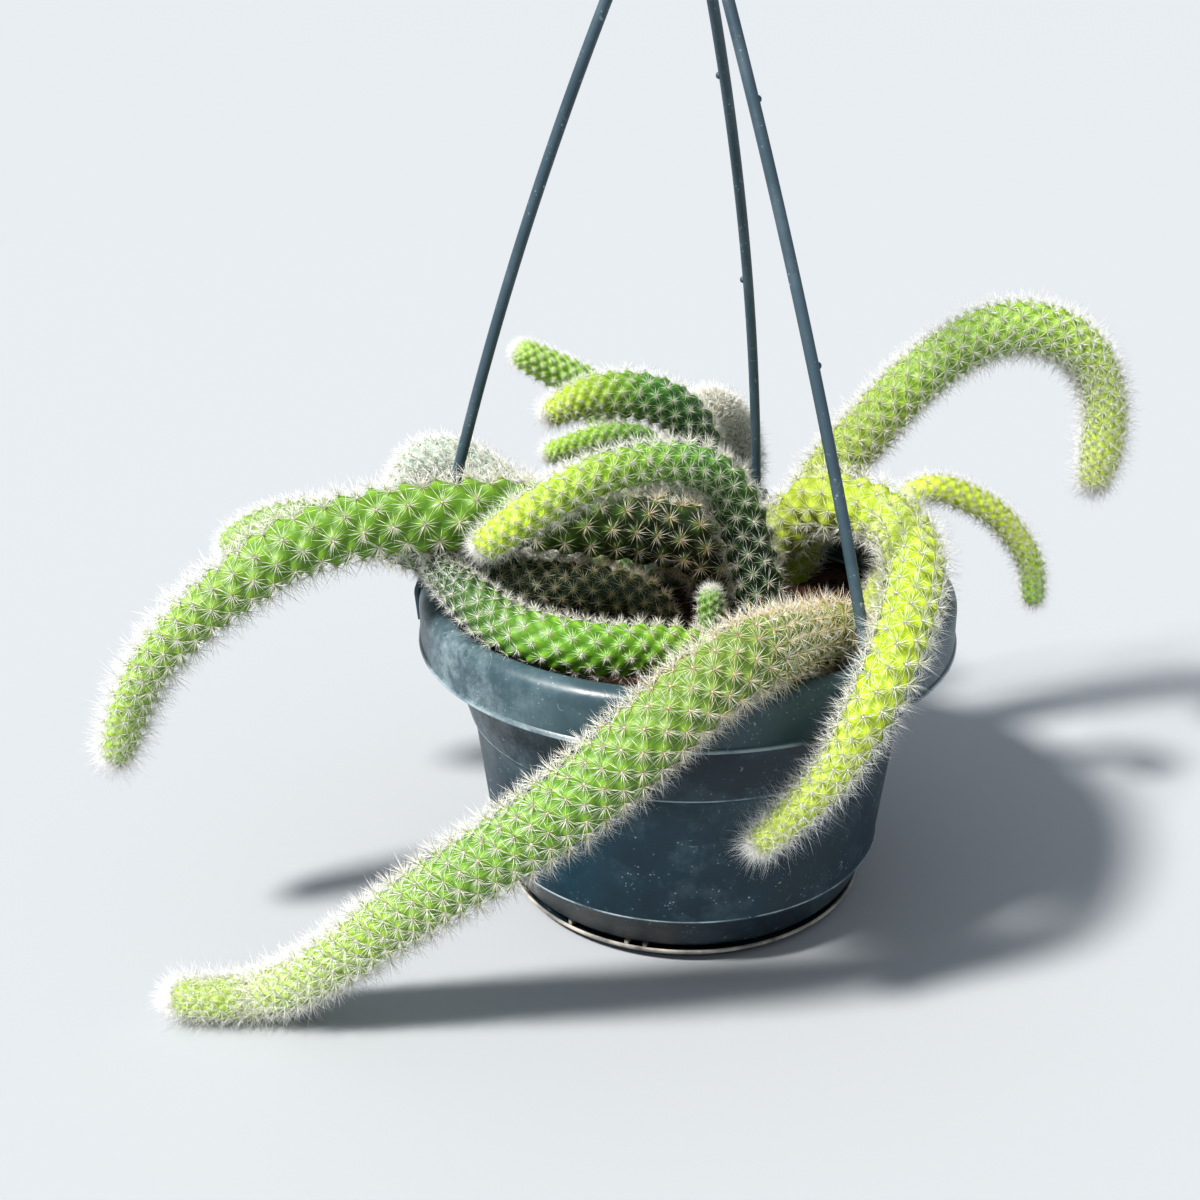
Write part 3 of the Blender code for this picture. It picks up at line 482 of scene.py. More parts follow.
def moulded_plastic(name, deep, worn, dust, dust_share, gloss, rubbed=(), band_highlight_share=0.0):
    """Dark moulded plastic that has been outdoors: cloudy wear, a dry film of dust, a caked patch
    of dust on the rim that is also a painted highlight, pale flecks, short curling scratches, edges
    rubbed pale at the heights in rubbed, and as much painted highlight over the rim's band as the
    last argument says."""
    made, tree, shader, place = start_material(name)
    cloud = noise(tree, place, 28, 5)
    base = colour_mix(tree, ramp(tree, cloud, 0.35, 0.75), deep, worn)
    height = height_of(tree, place)
    # Painted highlight: the rim's band, from its bottom edge up, is mixed towards a paler colour, patchily
    # with the cloudy wear
    band = ramp(tree, height, (BAND_BOTTOM - 0.5) * MM, (BAND_BOTTOM + 1.5) * MM)
    band = times(tree, band, ramp(tree, cloud, 0.2, 0.8, 0.75 * band_highlight_share, band_highlight_share))
    base = colour_mix(tree, band, base, PAINTED_BAND_HIGHLIGHT)
    film = noise(tree, place, 55, 7, 0.7)
    base = colour_mix(tree, ramp(tree, film, 0.50, 0.78, 0.0, dust_share), base, dust)
    # Caked dust round one place on the rim's left front, made strong enough there to be a painted
    # highlight as well
    apart = node(tree, "ShaderNodeVectorMath", {0: place, 1: DUST_AND_HIGHLIGHT_PLACE}, operation="DISTANCE")
    near = ramp(tree, apart.outputs["Value"], DUST_AND_HIGHLIGHT_REACH, 0.0)
    dust_and_highlight = times(tree, near, ramp(tree, noise(tree, place, 90, 8, 0.8), 0.42, 0.68))
    base = colour_mix(tree, times(tree, dust_and_highlight, 0.8), base, dust)
    for scale, reach, strength in ((260, 0.11, 0.75), (640, 0.20, 0.55)):
        flecks = node(tree, "ShaderNodeTexVoronoi", {"Vector": place, "Scale": scale}).outputs["Distance"]
        rare = ramp(tree, noise(tree, place, 110, 3), 0.48, 0.60, 0.0, strength)
        base = colour_mix(tree, times(tree, ramp(tree, flecks, reach, 0.5 * reach), rare), base, dust)
    off = maths(tree, "ABSOLUTE", maths(tree, "SUBTRACT", noise(tree, place, 130, 1), 0.5))
    askew = node(tree, "ShaderNodeMapping", {"Vector": place, "Rotation": (0.7, 0.4, 0)}).outputs[0]
    few = ramp(tree, noise(tree, askew, 150, 2), 0.60, 0.66, 0.0, 0.42)
    base = colour_mix(tree, times(tree, ramp(tree, off, 0.009, 0.003), few), base, dust)
    if rubbed:
        base = colour_mix(tree, times(tree, worn_edges(tree, place, rubbed), 0.85), base, dust)
    rough = ramp(tree, film, 0.35, 0.8, gloss, gloss + 0.28)
    feed(tree, shader, {"Base Color": base, "Roughness": rough, "Specular IOR Level": 0.45})
    bump(tree, shader, noise(tree, place, 420, 4), 0.12, 0.0006)
    return made


def potting_mix():
    """Dark reddish-brown soil, its crumbs lighter where they are dry."""
    made, tree, shader, place = start_material("damp potting mix")
    coarse = noise(tree, place, 160, 5, 0.7)
    fine = noise(tree, place, 900, 4, 0.7)
    base = colour_mix(tree, ramp(tree, coarse, 0.35, 0.7), (0.022, 0.011, 0.009), (0.12, 0.055, 0.038))
    base = colour_mix(tree, ramp(tree, fine, 0.55, 0.8, 0.0, 0.6), base, (0.26, 0.15, 0.10))
    feed(tree, shader, {"Base Color": base, "Roughness": 0.95, "Specular IOR Level": 0.25})
    bump(tree, shader, fine, 0.7, 0.001)
    return made


def stem_skin(name, stages, root, middle, tip, bark, old, groove_shade):
    """Fleshy green skin: its colour runs from the root to the growing tip, the grooves between
    the tubercles are darkened with painted shade as much as the last argument says, their tips
    lightened with a painted highlight, the felt on them is browner where the spines are old, and
    old growth near the soil is corky."""
    made, tree, shader, place = start_material(name)
    age = carried(tree, "growth")
    height = carried(tree, "tubercle")
    blotch = noise(tree, place, 130, 4)
    fine = noise(tree, place, 1500, 3)
    base = colour_mix(tree, ramp(tree, age, *stages[:2]), root, middle)
    base = colour_mix(tree, ramp(tree, age, *stages[2:]), base, tip)
    # Painted shade: the grooves between the tubercles are darkened by the groove share; the same darker
    # colour also gives the random blotches
    dark = colour_mix(tree, groove_shade, base, (0.26, 0.42, 0.30), "MULTIPLY")
    base = colour_mix(tree, ramp(tree, height, 0.03, 0.52), dark, base)
    # Painted highlight: the tubercles' tips are mixed towards a pale yellow-green
    pale = colour_mix(tree, 0.5, base, (0.48, 0.70, 0.10))
    base = colour_mix(tree, ramp(tree, height, 0.50, 0.92, 0.0, 0.42), base, pale)
    base = colour_mix(tree, ramp(tree, blotch, 0.35, 0.75, 0.0, 0.22), base, dark)
    wool = colour_mix(tree, ramp(tree, age, 0.28, 0.70, old, 0.0), (0.86, 0.87, 0.74), (0.62, 0.42, 0.18))
    base = colour_mix(tree, ramp(tree, height, 0.91, 0.96, 0.0, 0.7), base, wool)
    cork = times(tree, ramp(tree, age, 0.16, 0.02), ramp(tree, blotch, 0.40, 0.60, 0.0, bark))
    base = colour_mix(tree, cork, base, (0.23, 0.15, 0.085))
    feed(tree, shader, {
        "Base Color": base,
        "Roughness": ramp(tree, fine, 0.3, 0.7, 0.42, 0.62),
        "Subsurface Weight": 0.12,
        "Subsurface Radius": (0.5, 1.0, 0.2),
        "Subsurface Scale": 0.0015,
    })
    bump(tree, shader, fine, 0.25, 0.0002)
    return made


def bristle(name, young, old):
    """Spines and hair: pale and shiny, golden brown where gold says that they are old."""
    made, tree, shader, _ = start_material(name)
    feed(tree, shader, {
        "Base Color": colour_mix(tree, carried(tree, "gold"), young, old),
        "Roughness": 0.35,
        "Specular IOR Level": 0.9,
        "Subsurface Weight": 0.4,
        "Subsurface Radius": (1.0, 1.0, 1.0),
        "Subsurface Scale": 0.0008,
    })
    return made


def pick(obj):
    """Selects one object alone and makes it active."""
    bpy.ops.object.select_all(action="DESELECT")
    obj.select_set(True)
    bpy.context.view_layer.objects.active = obj


@contextmanager
def editing():
    """Edit mode on the active object, with all of it selected at the start."""
    bpy.ops.object.mode_set(mode="EDIT")
    bpy.ops.mesh.select_all(action="SELECT")
    yield
    bpy.ops.object.mode_set(mode="OBJECT")


def face_outwards():
    bpy.ops.mesh.select_all(action="SELECT")
    bpy.ops.mesh.normals_make_consistent(inside=False)


def add_object(name, data):
    made = bpy.data.objects.new(name, data)
    bpy.context.scene.collection.objects.link(made)
    return made


def add_numbers(mesh, name, values):
    """Gives each vertex a number that a material reads under this name."""
    attribute = mesh.attributes.new(name, "FLOAT", "POINT")
    attribute.data.foreach_set("value", np.asarray(values, np.float32))


def apply_modifier(obj, kind, **settings):
    pick(obj)
    modifier = obj.modifiers.new(kind.lower(), kind)
    for key, value in settings.items():
        setattr(modifier, key, value)
    bpy.ops.object.modifier_apply(modifier=modifier.name)


def heading(degrees):
    """The ways outwards and sideways at a bearing about the vertical."""
    turn = math.radians(degrees)
    return np.array([math.cos(turn), math.sin(turn), 0]), np.array([-math.sin(turn), math.cos(turn), 0])


def unit(rows):
    return rows / np.linalg.norm(rows, axis=1, keepdims=True)


def keep(obj, name, finish, smooth=40):
    """Names a finished piece, applies its place, gives it its material and shades it."""
    pick(obj)
    obj.name = obj.data.name = name
    bpy.ops.object.transform_apply(location=True, rotation=True, scale=True)
    obj.data.materials.clear()
    obj.data.materials.append(finish)
    if smooth:
        bpy.ops.object.shade_smooth_by_angle(angle=math.radians(smooth))
    return obj


def turned(outline, turns, centre=(0, 0)):
    """An outline of (radius, height) drawn point by point and spun about the vertical."""
    bpy.ops.mesh.primitive_plane_add(size=MM, location=(0, 0, 0))
    obj = bpy.context.object
    with editing():
        bpy.ops.mesh.merge(type="CENTER")
        at = (0.0, 0.0)
        for k, (r, z) in enumerate(outline):
            move = ((r - at[0]) * MM, 0, (z - at[1]) * MM)
            if k:
                bpy.ops.mesh.extrude_vertices_move(TRANSFORM_OT_translate={"value": move})
            else:
                bpy.ops.transform.translate(value=move)
            at = (r, z)
        bpy.ops.mesh.select_all(action="SELECT")
        bpy.ops.mesh.spin(steps=turns, angle=math.tau, center=(0, 0, 0), axis=(0, 0, 1))
        bpy.ops.mesh.select_all(action="SELECT")
        bpy.ops.mesh.remove_doubles(threshold=MERGE_REACH)
        face_outwards()
        bpy.ops.transform.translate(value=(centre[0] * MM, centre[1] * MM, 0))
    return obj


def arc(centre, radius, start, end, steps):
    """Points (r, z) on an arc of a turned outline, angles in degrees from outwards."""
    angles = np.radians(np.linspace(start, end, steps))
    return [(centre[0] + radius * math.cos(a), centre[1] + radius * math.sin(a)) for a in angles]


def join(first, others):
    bpy.ops.object.select_all(action="DESELECT")
    for obj in others:
        obj.select_set(True)
    first.select_set(True)
    bpy.context.view_layer.objects.active = first
    bpy.ops.object.join()
    return first


def cut(obj, cutters):
    """Cuts holes through a piece with other objects, which then go."""
    cutter = join(cutters[0], cutters[1:])
    apply_modifier(obj, "BOOLEAN", operation="DIFFERENCE", solver="EXACT", object=cutter)
    bpy.data.objects.remove(cutter)


def make_pot(finish):
    """The hanging pot: foot, fine ridge, step, neck, and the rolled rim with its skirt."""
    skirt = RIM_RADIUS - SKIRT_WALL
    corner = (RIM_RADIUS - SHOULDER, RIM_TOP - SHOULDER)
    outline = [
        (0, FOOT_HEIGHT),
        (FOOT_RADIUS - 1.0, FOOT_HEIGHT),
        (FOOT_RADIUS, FOOT_HEIGHT + 0.3),
        (FOOT_RADIUS + 0.7, FOOT_HEIGHT + 1.0),
        (FOOT_RADIUS + 1.6, FOOT_HEIGHT + 2.0),
        (RIDGE_RADIUS - 0.1, RIDGE_HEIGHT - 0.9),
        (RIDGE_RADIUS + 0.35, RIDGE_HEIGHT - 0.5),
        (RIDGE_RADIUS + 0.55, RIDGE_HEIGHT),
        (RIDGE_RADIUS + 0.35, RIDGE_HEIGHT + 0.4),
        (RIDGE_RADIUS + 0.1, RIDGE_HEIGHT + 0.8),
        (WAIST_RADIUS, STEP_HEIGHT - 1.3),
        (STEP_RADIUS - 0.4, STEP_HEIGHT - 0.6),
        (STEP_RADIUS, STEP_HEIGHT - 0.1),
        (STEP_RADIUS + 0.1, STEP_HEIGHT + 0.4),
        (NECK_RADIUS, BAND_BOTTOM),
        (NECK_RADIUS + 0.6, RIM_TOP - 5.2),
        (NECK_RADIUS + 2.4, RIM_TOP - 3.2),
        (skirt - 1.4, RIM_TOP - 3.6),
        (skirt, RIM_TOP - 5.4),
        (skirt, BAND_BOTTOM + 0.2),
        (skirt + 0.3, BAND_BOTTOM),
        (RIM_RADIUS + LIP - 0.2, BAND_BOTTOM),
        (RIM_RADIUS + LIP, BAND_BOTTOM + 0.2),
        (RIM_RADIUS + LIP, BAND_BOTTOM + 0.7),
        (RIM_RADIUS + LIP - 0.3, BAND_BOTTOM + 1.1),
        (RIM_RADIUS, BAND_BOTTOM + 1.5),
        *arc(corner, SHOULDER, 0, 90, 9),
        (RIM_RADIUS - 5.9, RIM_TOP - 0.25),
        (RIM_RADIUS - 6.3, RIM_TOP - 0.9),
        (NECK_RADIUS - 1.0, RIM_TOP - 3.2),
        (NECK_RADIUS - POT_WALL, BAND_BOTTOM),
        (STEP_RADIUS - POT_WALL, STEP_HEIGHT + 0.4),
        (WAIST_RADIUS - POT_WALL, STEP_HEIGHT - 1.4),
        (RIDGE_RADIUS - POT_WALL, RIDGE_HEIGHT + 0.5),
        (FOOT_RADIUS - 0.2, FOOT_HEIGHT + 2.8),
        (FOOT_RADIUS - 1.6, FOOT_HEIGHT + POT_WALL),
        (0, FOOT_HEIGHT + POT_WALL),
    ]
    pot = turned(outline, TURNS)
    drains = []
    for k in range(DRAIN_HOLES):
        place = heading(360 * k / DRAIN_HOLES)[0] * DRAIN_CIRCLE + (0, 0, FOOT_HEIGHT + 1)
        bpy.ops.mesh.primitive_cylinder_add(
            vertices=24, radius=DRAIN_RADIUS * MM, depth=DRAIN_DEPTH * MM, location=tuple(place * MM)
        )
        drains.append(bpy.context.object)
    cut(pot, drains)
    return keep(pot, "moulded_pot", finish)


def make_saucer(finish):
    """The drip dish with its thin upright lip and the small tabs that the pot stands on."""
    flat = SAUCER_RADIUS - 4.0
    outline = [
        (0, 0),
        (flat - 0.6, 0),
        (flat, 0.1),
        (flat + 1.2, 0.6),
        (SAUCER_RADIUS - 0.3, SAUCER_HEIGHT - 1.2),
        (SAUCER_RADIUS, SAUCER_HEIGHT - 0.5),
        (SAUCER_RADIUS - 0.05, SAUCER_HEIGHT - 0.15),
        (SAUCER_RADIUS - 0.35, SAUCER_HEIGHT),
        (SAUCER_RADIUS - 0.75, SAUCER_HEIGHT - 0.05),
        (SAUCER_RADIUS - 0.95, SAUCER_HEIGHT - 0.35),
        (flat + 0.8, SAUCER_WALL + 0.2),
        (flat + 0.2, SAUCER_WALL),
        (0, SAUCER_WALL),
    ]
    saucer = turned(outline, TURNS)
    tabs = []
    for third in (0, 120, 240):
        for bearing in TAB_BEARINGS:
            middle = heading(bearing + third)[0] * (TAB_INNER + TAB_OUTER) / 2
            place = middle + (0, 0, (TAB_TOP + TAB_FOOT) / 2)
            turn = math.radians(bearing + third)
            bpy.ops.mesh.primitive_cube_add(size=1, location=tuple(place * MM), rotation=(0, 0, turn))
            tab = bpy.context.object
            tab.scale = ((TAB_OUTER - TAB_INNER) * MM, TAB_WIDTH * MM, (TAB_TOP - TAB_FOOT) * MM)
            bpy.ops.object.transform_apply(location=False, rotation=False, scale=True)
            with editing():
                bpy.ops.mesh.bevel(offset=EDGE_ROUND * MM, segments=2)
            tabs.append(tab)
    return keep(join(saucer, tabs), "drip_saucer", finish)


def rippled(coords, seed, scale):
    """Smooth random heights for points, mostly from -1 to 1: waves in random directions."""
    draw = np.random.default_rng(seed)
    total = np.zeros(len(coords))
    for octave in range(1, 5):
        for _ in range(6):
            way = draw.normal(size=coords.shape[1])
            way *= scale * 1.9**octave / np.linalg.norm(way)
            total += np.sin(coords @ way + draw.uniform(0, math.tau)) / 1.7**octave
    return total / 4.0


def heaped(coords):
    """How far the heaped soil stands above or below its mean level."""
    return HEAP_HEIGHT * rippled(coords, HEAP_SEED, HEAP_WAVES)


def coordinates(mesh):
    places = np.empty(len(mesh.vertices) * 3)
    mesh.vertices.foreach_get("co", places)
    return places.reshape(-1, 3) / MM


def set_coordinates(mesh, places):
    mesh.vertices.foreach_set("co", (np.asarray(places) * MM).ravel())
    mesh.update()


def scattered(name, pattern, matrices, shifts):
    """One mesh of many copies of a small model: each copy is turned and stretched by its
    matrix and moved by its shift."""
    places = coordinates(pattern)
    faces = np.array([tuple(p.vertices) for p in pattern.polygons])
    spots = np.einsum("nij,vj->nvi", matrices, places) + shifts[:, None, :]
    count = len(places)
    corners = faces[None] + (np.arange(len(matrices)) * count)[:, None, None]
    mesh = bpy.data.meshes.new(name)
    mesh.vertices.add(spots.shape[0] * count)
    mesh.vertices.foreach_set("co", (spots * MM).ravel())
    corners = corners.reshape(-1, faces.shape[1])
    mesh.loops.add(corners.size)
    mesh.loops.foreach_set("vertex_index", corners.ravel())
    mesh.polygons.add(len(corners))
    mesh.polygons.foreach_set("loop_start", np.arange(len(corners)) * faces.shape[1])
    mesh.polygons.foreach_set("loop_total", np.full(len(corners), faces.shape[1]))
    mesh.update(calc_edges=True)
    return mesh


def random_turns(draw, count):
    """Random rotation matrices."""
    w, x, y, z = unit(draw.normal(size=(count, 4))).T
    return np.array([
        [1 - 2 * (y * y + z * z), 2 * (x * y - z * w), 2 * (x * z + y * w)],
        [2 * (x * y + z * w), 1 - 2 * (x * x + z * z), 2 * (y * z - x * w)],
        [2 * (x * z - y * w), 2 * (y * z + x * w), 1 - 2 * (x * x + y * y)],
    ]).transpose(2, 0, 1)


def make_soil(finish):
    """The soil's bed, heaped unevenly, with crumbs and bark bits pressed into it."""
    edge = SOIL_RADIUS
    outline = [(0, SOIL_FLOOR), (edge - 7, SOIL_FLOOR), (edge - 0.4, SOIL_TOP - 2), (edge, SOIL_TOP)]
    outline += [(edge * k / BED_RINGS, SOIL_TOP) for k in range(BED_RINGS - 1, -1, -1)]
    bed = turned(outline, BED_TURNS)
    places = coordinates(bed.data)
    radius = np.hypot(places[:, 0], places[:, 1])
    top = (places[:, 2] > SOIL_TOP - 0.1) & (radius < edge - 1)
    spots = places[top, :2]
    places[top, 2] += heaped(spots) + LUMP_HEIGHT * rippled(spots, LUMP_SEED, LUMP_WAVES)
    set_coordinates(bed.data, places)
    bpy.ops.mesh.primitive_ico_sphere_add(subdivisions=1, radius=MM)
    crumb = bpy.context.object
    draw = np.random.default_rng(CRUMB_SEED)
    size = CRUMB_LEAST + CRUMB_EXTRA * draw.random(CRUMBS) ** 3
    stretch = size[:, None] * draw.uniform(*CRUMB_STRETCH, (CRUMBS, 3))
    turns = random_turns(draw, CRUMBS) * stretch[:, None, :]
    reach = (edge - 2.0) * np.sqrt(draw.random(CRUMBS))
    angle = draw.uniform(0, math.tau, CRUMBS)
    shifts = np.stack([reach * np.cos(angle), reach * np.sin(angle), np.full(CRUMBS, SOIL_TOP)], 1)
    shifts[:, 2] += heaped(shifts[:, :2]) + CRUMB_RISE * size
    crumbs = add_object("crumbs", scattered("crumbs", crumb.data, turns, shifts))
    bpy.data.objects.remove(crumb)
    return keep(join(bed, [crumbs]), "soil_bed", finish, 30)


def strand_line(bearing, bow, steps=48):
    """The middle of one strand, from its foot on the rim up to its end in the hub."""
    out = heading(bearing)[0]
    foot = out * STRAND_SEAT + (0, 0, RIM_TOP + 1.2)
    top = np.array((HUB_X, HUB_Y, STRAND_TOP)) + out * STRAND_SPREAD
    along = np.linspace(0, 1, steps)[:, None]
    return foot * (1 - along) + top * along + out * bow * 4 * along * (1 - along)


def bar(points, radius, rings=3):
    """A round bar along points: a curve with a bevel, made a mesh."""
    curve = bpy.data.curves.new("bar", "CURVE")
    curve.dimensions = "3D"
    curve.bevel_depth = radius * MM
    curve.bevel_resolution = rings
    curve.use_fill_caps = True
    spline = curve.splines.new("POLY")
    spline.points.add(len(points) - 1)
    for point, place in zip(spline.points, points):
        point.co = (*(np.array(place) * MM), 1)
    obj = add_object("bar", curve)
    pick(obj)
    bpy.ops.object.convert(target="MESH")
    with editing():
        bpy.ops.mesh.remove_doubles(threshold=MERGE_REACH)
    return obj


def clip_outline():
    """The strap over the rim, as (r, z): a long leg outside and a short one inside."""
    corner = (RIM_RADIUS - SHOULDER, RIM_TOP - SHOULDER)
    inner = SHOULDER + CLIP_GAP
    outer = inner + CLIP_THICKNESS
    leg_bottom = BAND_BOTTOM + 2.6
    inside = NECK_RADIUS - 2.0
    return [
        (corner[0] + inner, leg_bottom),
        *arc(corner, inner, 0, 90, 8),
        (corner[0] - 1.7, RIM_TOP + 0.1),
        (inside + 0.1, RIM_TOP - 2.4),
        (inside - 0.2, RIM_TOP - 6.0),
        (inside - 1.4, RIM_TOP - 6.0),
        (inside - 1.3, RIM_TOP - 1.8),
        (corner[0] - 2.4, RIM_TOP + 1.6),
        *arc(corner, outer, 90, 0, 8),
        (corner[0] + inner + 0.8, leg_bottom),
    ]


def make_clip(bearing):
    """The strap's outline, filled, pushed out to the strap's width and rounded."""
    out, across = heading(bearing)
    corners = [out * r + (0, 0, z) - across * CLIP_WIDTH / 2 for r, z in clip_outline()]
    mesh = bpy.data.meshes.new("clip")
    mesh.from_pydata([tuple(p * MM) for p in corners], [], [tuple(range(len(corners)))])
    clip = add_object("clip", mesh)
    pick(clip)
    with editing():
        move = tuple(across * CLIP_WIDTH * MM)
        bpy.ops.mesh.extrude_region_move(TRANSFORM_OT_translate={"value": move})
        face_outwards()
    settings = {"limit_method": "ANGLE", "angle_limit": math.radians(CLIP_SHARP)}
    apply_modifier(clip, "BEVEL", width=EDGE_ROUND * MM, segments=2, **settings)
    return clip


def make_strand(name, finish, bearing, bow):
    """One strand of the hanger: a round bar with small moulded nubs, and its rim clip."""
    line = strand_line(bearing, bow)
    strand = bar(line, STRAND_RADIUS, 4)
    side = heading(bearing)[1] * (1 if bearing > 100 else -1)
    pieces = [make_clip(bearing)]
    for height in NUB_HEIGHTS:
        spot = np.array([np.interp(height, line[:, 2], line[:, k]) for k in range(3)])
        spot = spot - side * (STRAND_RADIUS - 0.1)
        bpy.ops.mesh.primitive_uv_sphere_add(
            segments=16, ring_count=10, radius=NUB_RADIUS * MM, location=tuple(spot * MM)
        )
        pieces.append(bpy.context.object)
    return keep(join(strand, pieces), name.replace("strand", "hanger_strand"), finish)


def make_hanger_top(finish):
    """The hub that the three strands end in, and the hook above it."""
    outline = [
        (0, HUB_BOTTOM),
        (HUB_RADIUS - 1.0, HUB_BOTTOM),
        (HUB_RADIUS - 0.3, HUB_BOTTOM + 0.3),
        (HUB_RADIUS, HUB_BOTTOM + 1.0),
        (HUB_RADIUS, HUB_BOTTOM + 9.2),
        (HUB_RADIUS - 0.5, HUB_BOTTOM + 10.4),
        (HUB_RADIUS - 2.4, HUB_TOP - 3.2),
        (HOOK_WIRE + 1.2, HUB_TOP - 0.8),
        (HOOK_WIRE + 0.4, HUB_TOP),
        (0, HUB_TOP),
    ]
    hub = turned(outline, HUB_TURNS, (HUB_X, HUB_Y))
    centre = HUB_TOP + HOOK_SHANK + HOOK_RADIUS
    line = [(HUB_X, HUB_Y, HUB_TOP - 2)]
    for angle in np.radians(np.linspace(-90, HOOK_END, 60)):
        x, z = HOOK_RADIUS * math.cos(angle), HOOK_RADIUS * math.sin(angle)
        line.append((HUB_X + x, HUB_Y, centre + z))
    return keep(join(hub, [bar(line, HOOK_WIRE, 5)]), "hanger_hub", finish)


def between(first, second, at, start, end):
    """The point that lies between two points as at lies between start and end."""
    return first + (second - first) * (at - start) / (end - start)


def smooth_route(foot, *route):
    """Close points along a stem's axis, as rows of x, y, z, radius: a Catmull-Rom curve
    through the route that leaves the soil upright."""
    x, y = foot
    first = route[0][3] * FOOT_TAPER
    start = (x, y, SOIL_TOP + COLLAR, first)
    below = (x, y, SOIL_TOP + COLLAR - UPRIGHT_REACH, first)
    points = np.array([below, start, *route], float)
    points = np.vstack([points, 2 * points[-1] - points[-2]])
    rows = []
    for a, b, c, d in zip(points, points[1:], points[2:], points[3:]):
        knots = [0.0]
        for p, q in ((a, b), (b, c), (c, d)):
            knots.append(knots[-1] + math.sqrt(np.linalg.norm((q - p)[:3])))
        k0, k1, k2, k3 = knots
        steps = max(3, int(np.linalg.norm((c - b)[:3]) / ROUTE_STEP))
        for t in np.linspace(k1, k2, steps, endpoint=False):
            ab, bc, cd = between(a, b, t, k0, k1), between(b, c, t, k1, k2), between(c, d, t, k2, k3)
            abc, bcd = between(ab, bc, t, k0, k2), between(bc, cd, t, k1, k3)
            rows.append(between(abc, bcd, t, k1, k2))
    rows.append(points[-2])
    plug = np.array([[x, y, SOIL_TOP - depth, first] for depth in PLUG_DEPTHS])
    return np.vstack([plug, rows])


class Stem:
    """A stem's axis with its frames, and the lattice of its tubercles. s is the length along
    the skin from the foot, u the turn round the stem from 0 to 1."""

    def __init__(self, name):
        axis = smooth_route(*STEMS[name])
        steps = np.linalg.norm(np.diff(axis[:, :3], axis=0), axis=1)
        along = np.concatenate([[0.0], np.cumsum(steps)])
        length = along[-1]
        tip = axis[-1, 3]
        body = np.linspace(0, length, int(length / AXIS_STEP) + 2)
        dome = np.linspace(0, math.pi / 2, DOME_RINGS)[1:]
        self.s = np.concatenate([body, length + tip * dome])
        flat = [np.interp(body, along, axis[:, k]) for k in range(4)]
        centre = np.stack(flat[:3], 1)
        way = np.gradient(centre, axis=0)
        for _ in range(WAY_PASSES):
            way[1:-1] = (way[:-2] + 2 * way[1:-1] + way[2:]) / 4
        way = unit(way)
        last, end = way[-1], centre[-1]
        self.centre = np.vstack([centre, end + np.outer(tip * np.sin(dome), last)])
        self.way = np.vstack([way, np.tile(last, (len(dome), 1))])
        self.radius = np.concatenate([flat[3], tip * np.cos(dome)])
        self.rise = np.concatenate([np.zeros(len(body)), dome])
        side = np.array([1.0, 0.0, 0.0])
        sides = []
        for w in self.way:
            side = side - w * (side @ w)
            side /= np.linalg.norm(side)
            sides.append(side)
        self.side = np.array(sides)
        self.up = np.cross(self.way, self.side)
        self.left, self.right = ROWS[name], ROWS[name] - 1
        self.size = np.clip(axis[:, 3].max() / FULL_SPINES, *SPINE_SIZES)
        to_tip = self.s[-1] - self.s
        share = TIP_PITCH + (PITCH - TIP_PITCH) * np.clip(to_tip / TIP_REACH, 0, 1)
        rows = self.left + self.right
        self.pitch = np.maximum(share * self.radius * USUAL_ROWS / rows, LEAST_PITCH)
        rate = 1 / self.pitch
        turns = (rate[1:] + rate[:-1]) / 2 * np.diff(self.s)
        self.phase = np.concatenate([[0.0], np.cumsum(turns)])

    def at(self, values, s):
        if values.ndim == 1:
            return np.interp(s, self.s, values)
        return np.stack([np.interp(s, self.s, values[:, k]) for k in range(values.shape[1])], -1)

    def tubercle(self, s, u):
        """How high the skin stands at a place: 1 on a tubercle's tip, 0 in the grooves. A
        tubercle is part rounded dome and part four-sided pyramid."""
        phase = np.interp(s, self.s, self.phase)
        first, second = self.left * u + phase, self.right * u - phase
        dome = np.abs(np.cos(math.pi * first) * np.cos(math.pi * second)) ** DOME_POWER
        sides = [1 - 2 * np.abs(turn - np.round(turn)) for turn in (first, second)]
        return (1 - FACET_SHARE) * dome + FACET_SHARE * np.minimum(*sides)

    def surface(self, s, u):
        """Place, outward normal, way along and height of the skin at s and u."""
        centre, way = self.at(self.centre, s), self.at(self.way, s)
        side, up = self.at(self.side, s), self.at(self.up, s)
        angle = math.tau * u[..., None]
        out = side * np.cos(angle) + up * np.sin(angle)
        radius = self.at(self.radius, s)[..., None]
        rise = self.at(self.rise, s)[..., None]
        height = self.tubercle(s, u)
        pitch = self.at(self.pitch, s)
        calm = np.clip((s - PLAIN_LENGTH) / RISE_LENGTH, 0, 1)
        calm = calm * np.cos(self.at(self.rise, s)) ** TIP_CALM
        depth = (VALLEY_DEPTH * pitch * calm * (1 - height))[..., None]
        normal = out * np.cos(rise) + way * np.sin(rise)
        lean = (APEX_LEAN * pitch * calm * height)[..., None]
        place = centre + out * radius - normal * depth + way * lean
        place[..., 2] = np.maximum(place[..., 2], 0.0)
        return place, normal, way, height

    def areoles(self):
        """The places (s, u) of the tubercles' tips above the soil."""
        rows = self.left + self.right
        found = []
        for k in range(rows):
            shift = -self.left * k / rows
            whole = np.arange(math.ceil(-shift), math.floor(self.phase[-1] - shift) + 1)
            spots = np.interp(whole + shift, self.phase, self.s)
            found += [(s, k / rows) for s in spots]
        places = np.array(found)
        return places[(places[:, 0] > BARE_FOOT) & (places[:, 0] < self.s[-1] - BARE_TIP)]


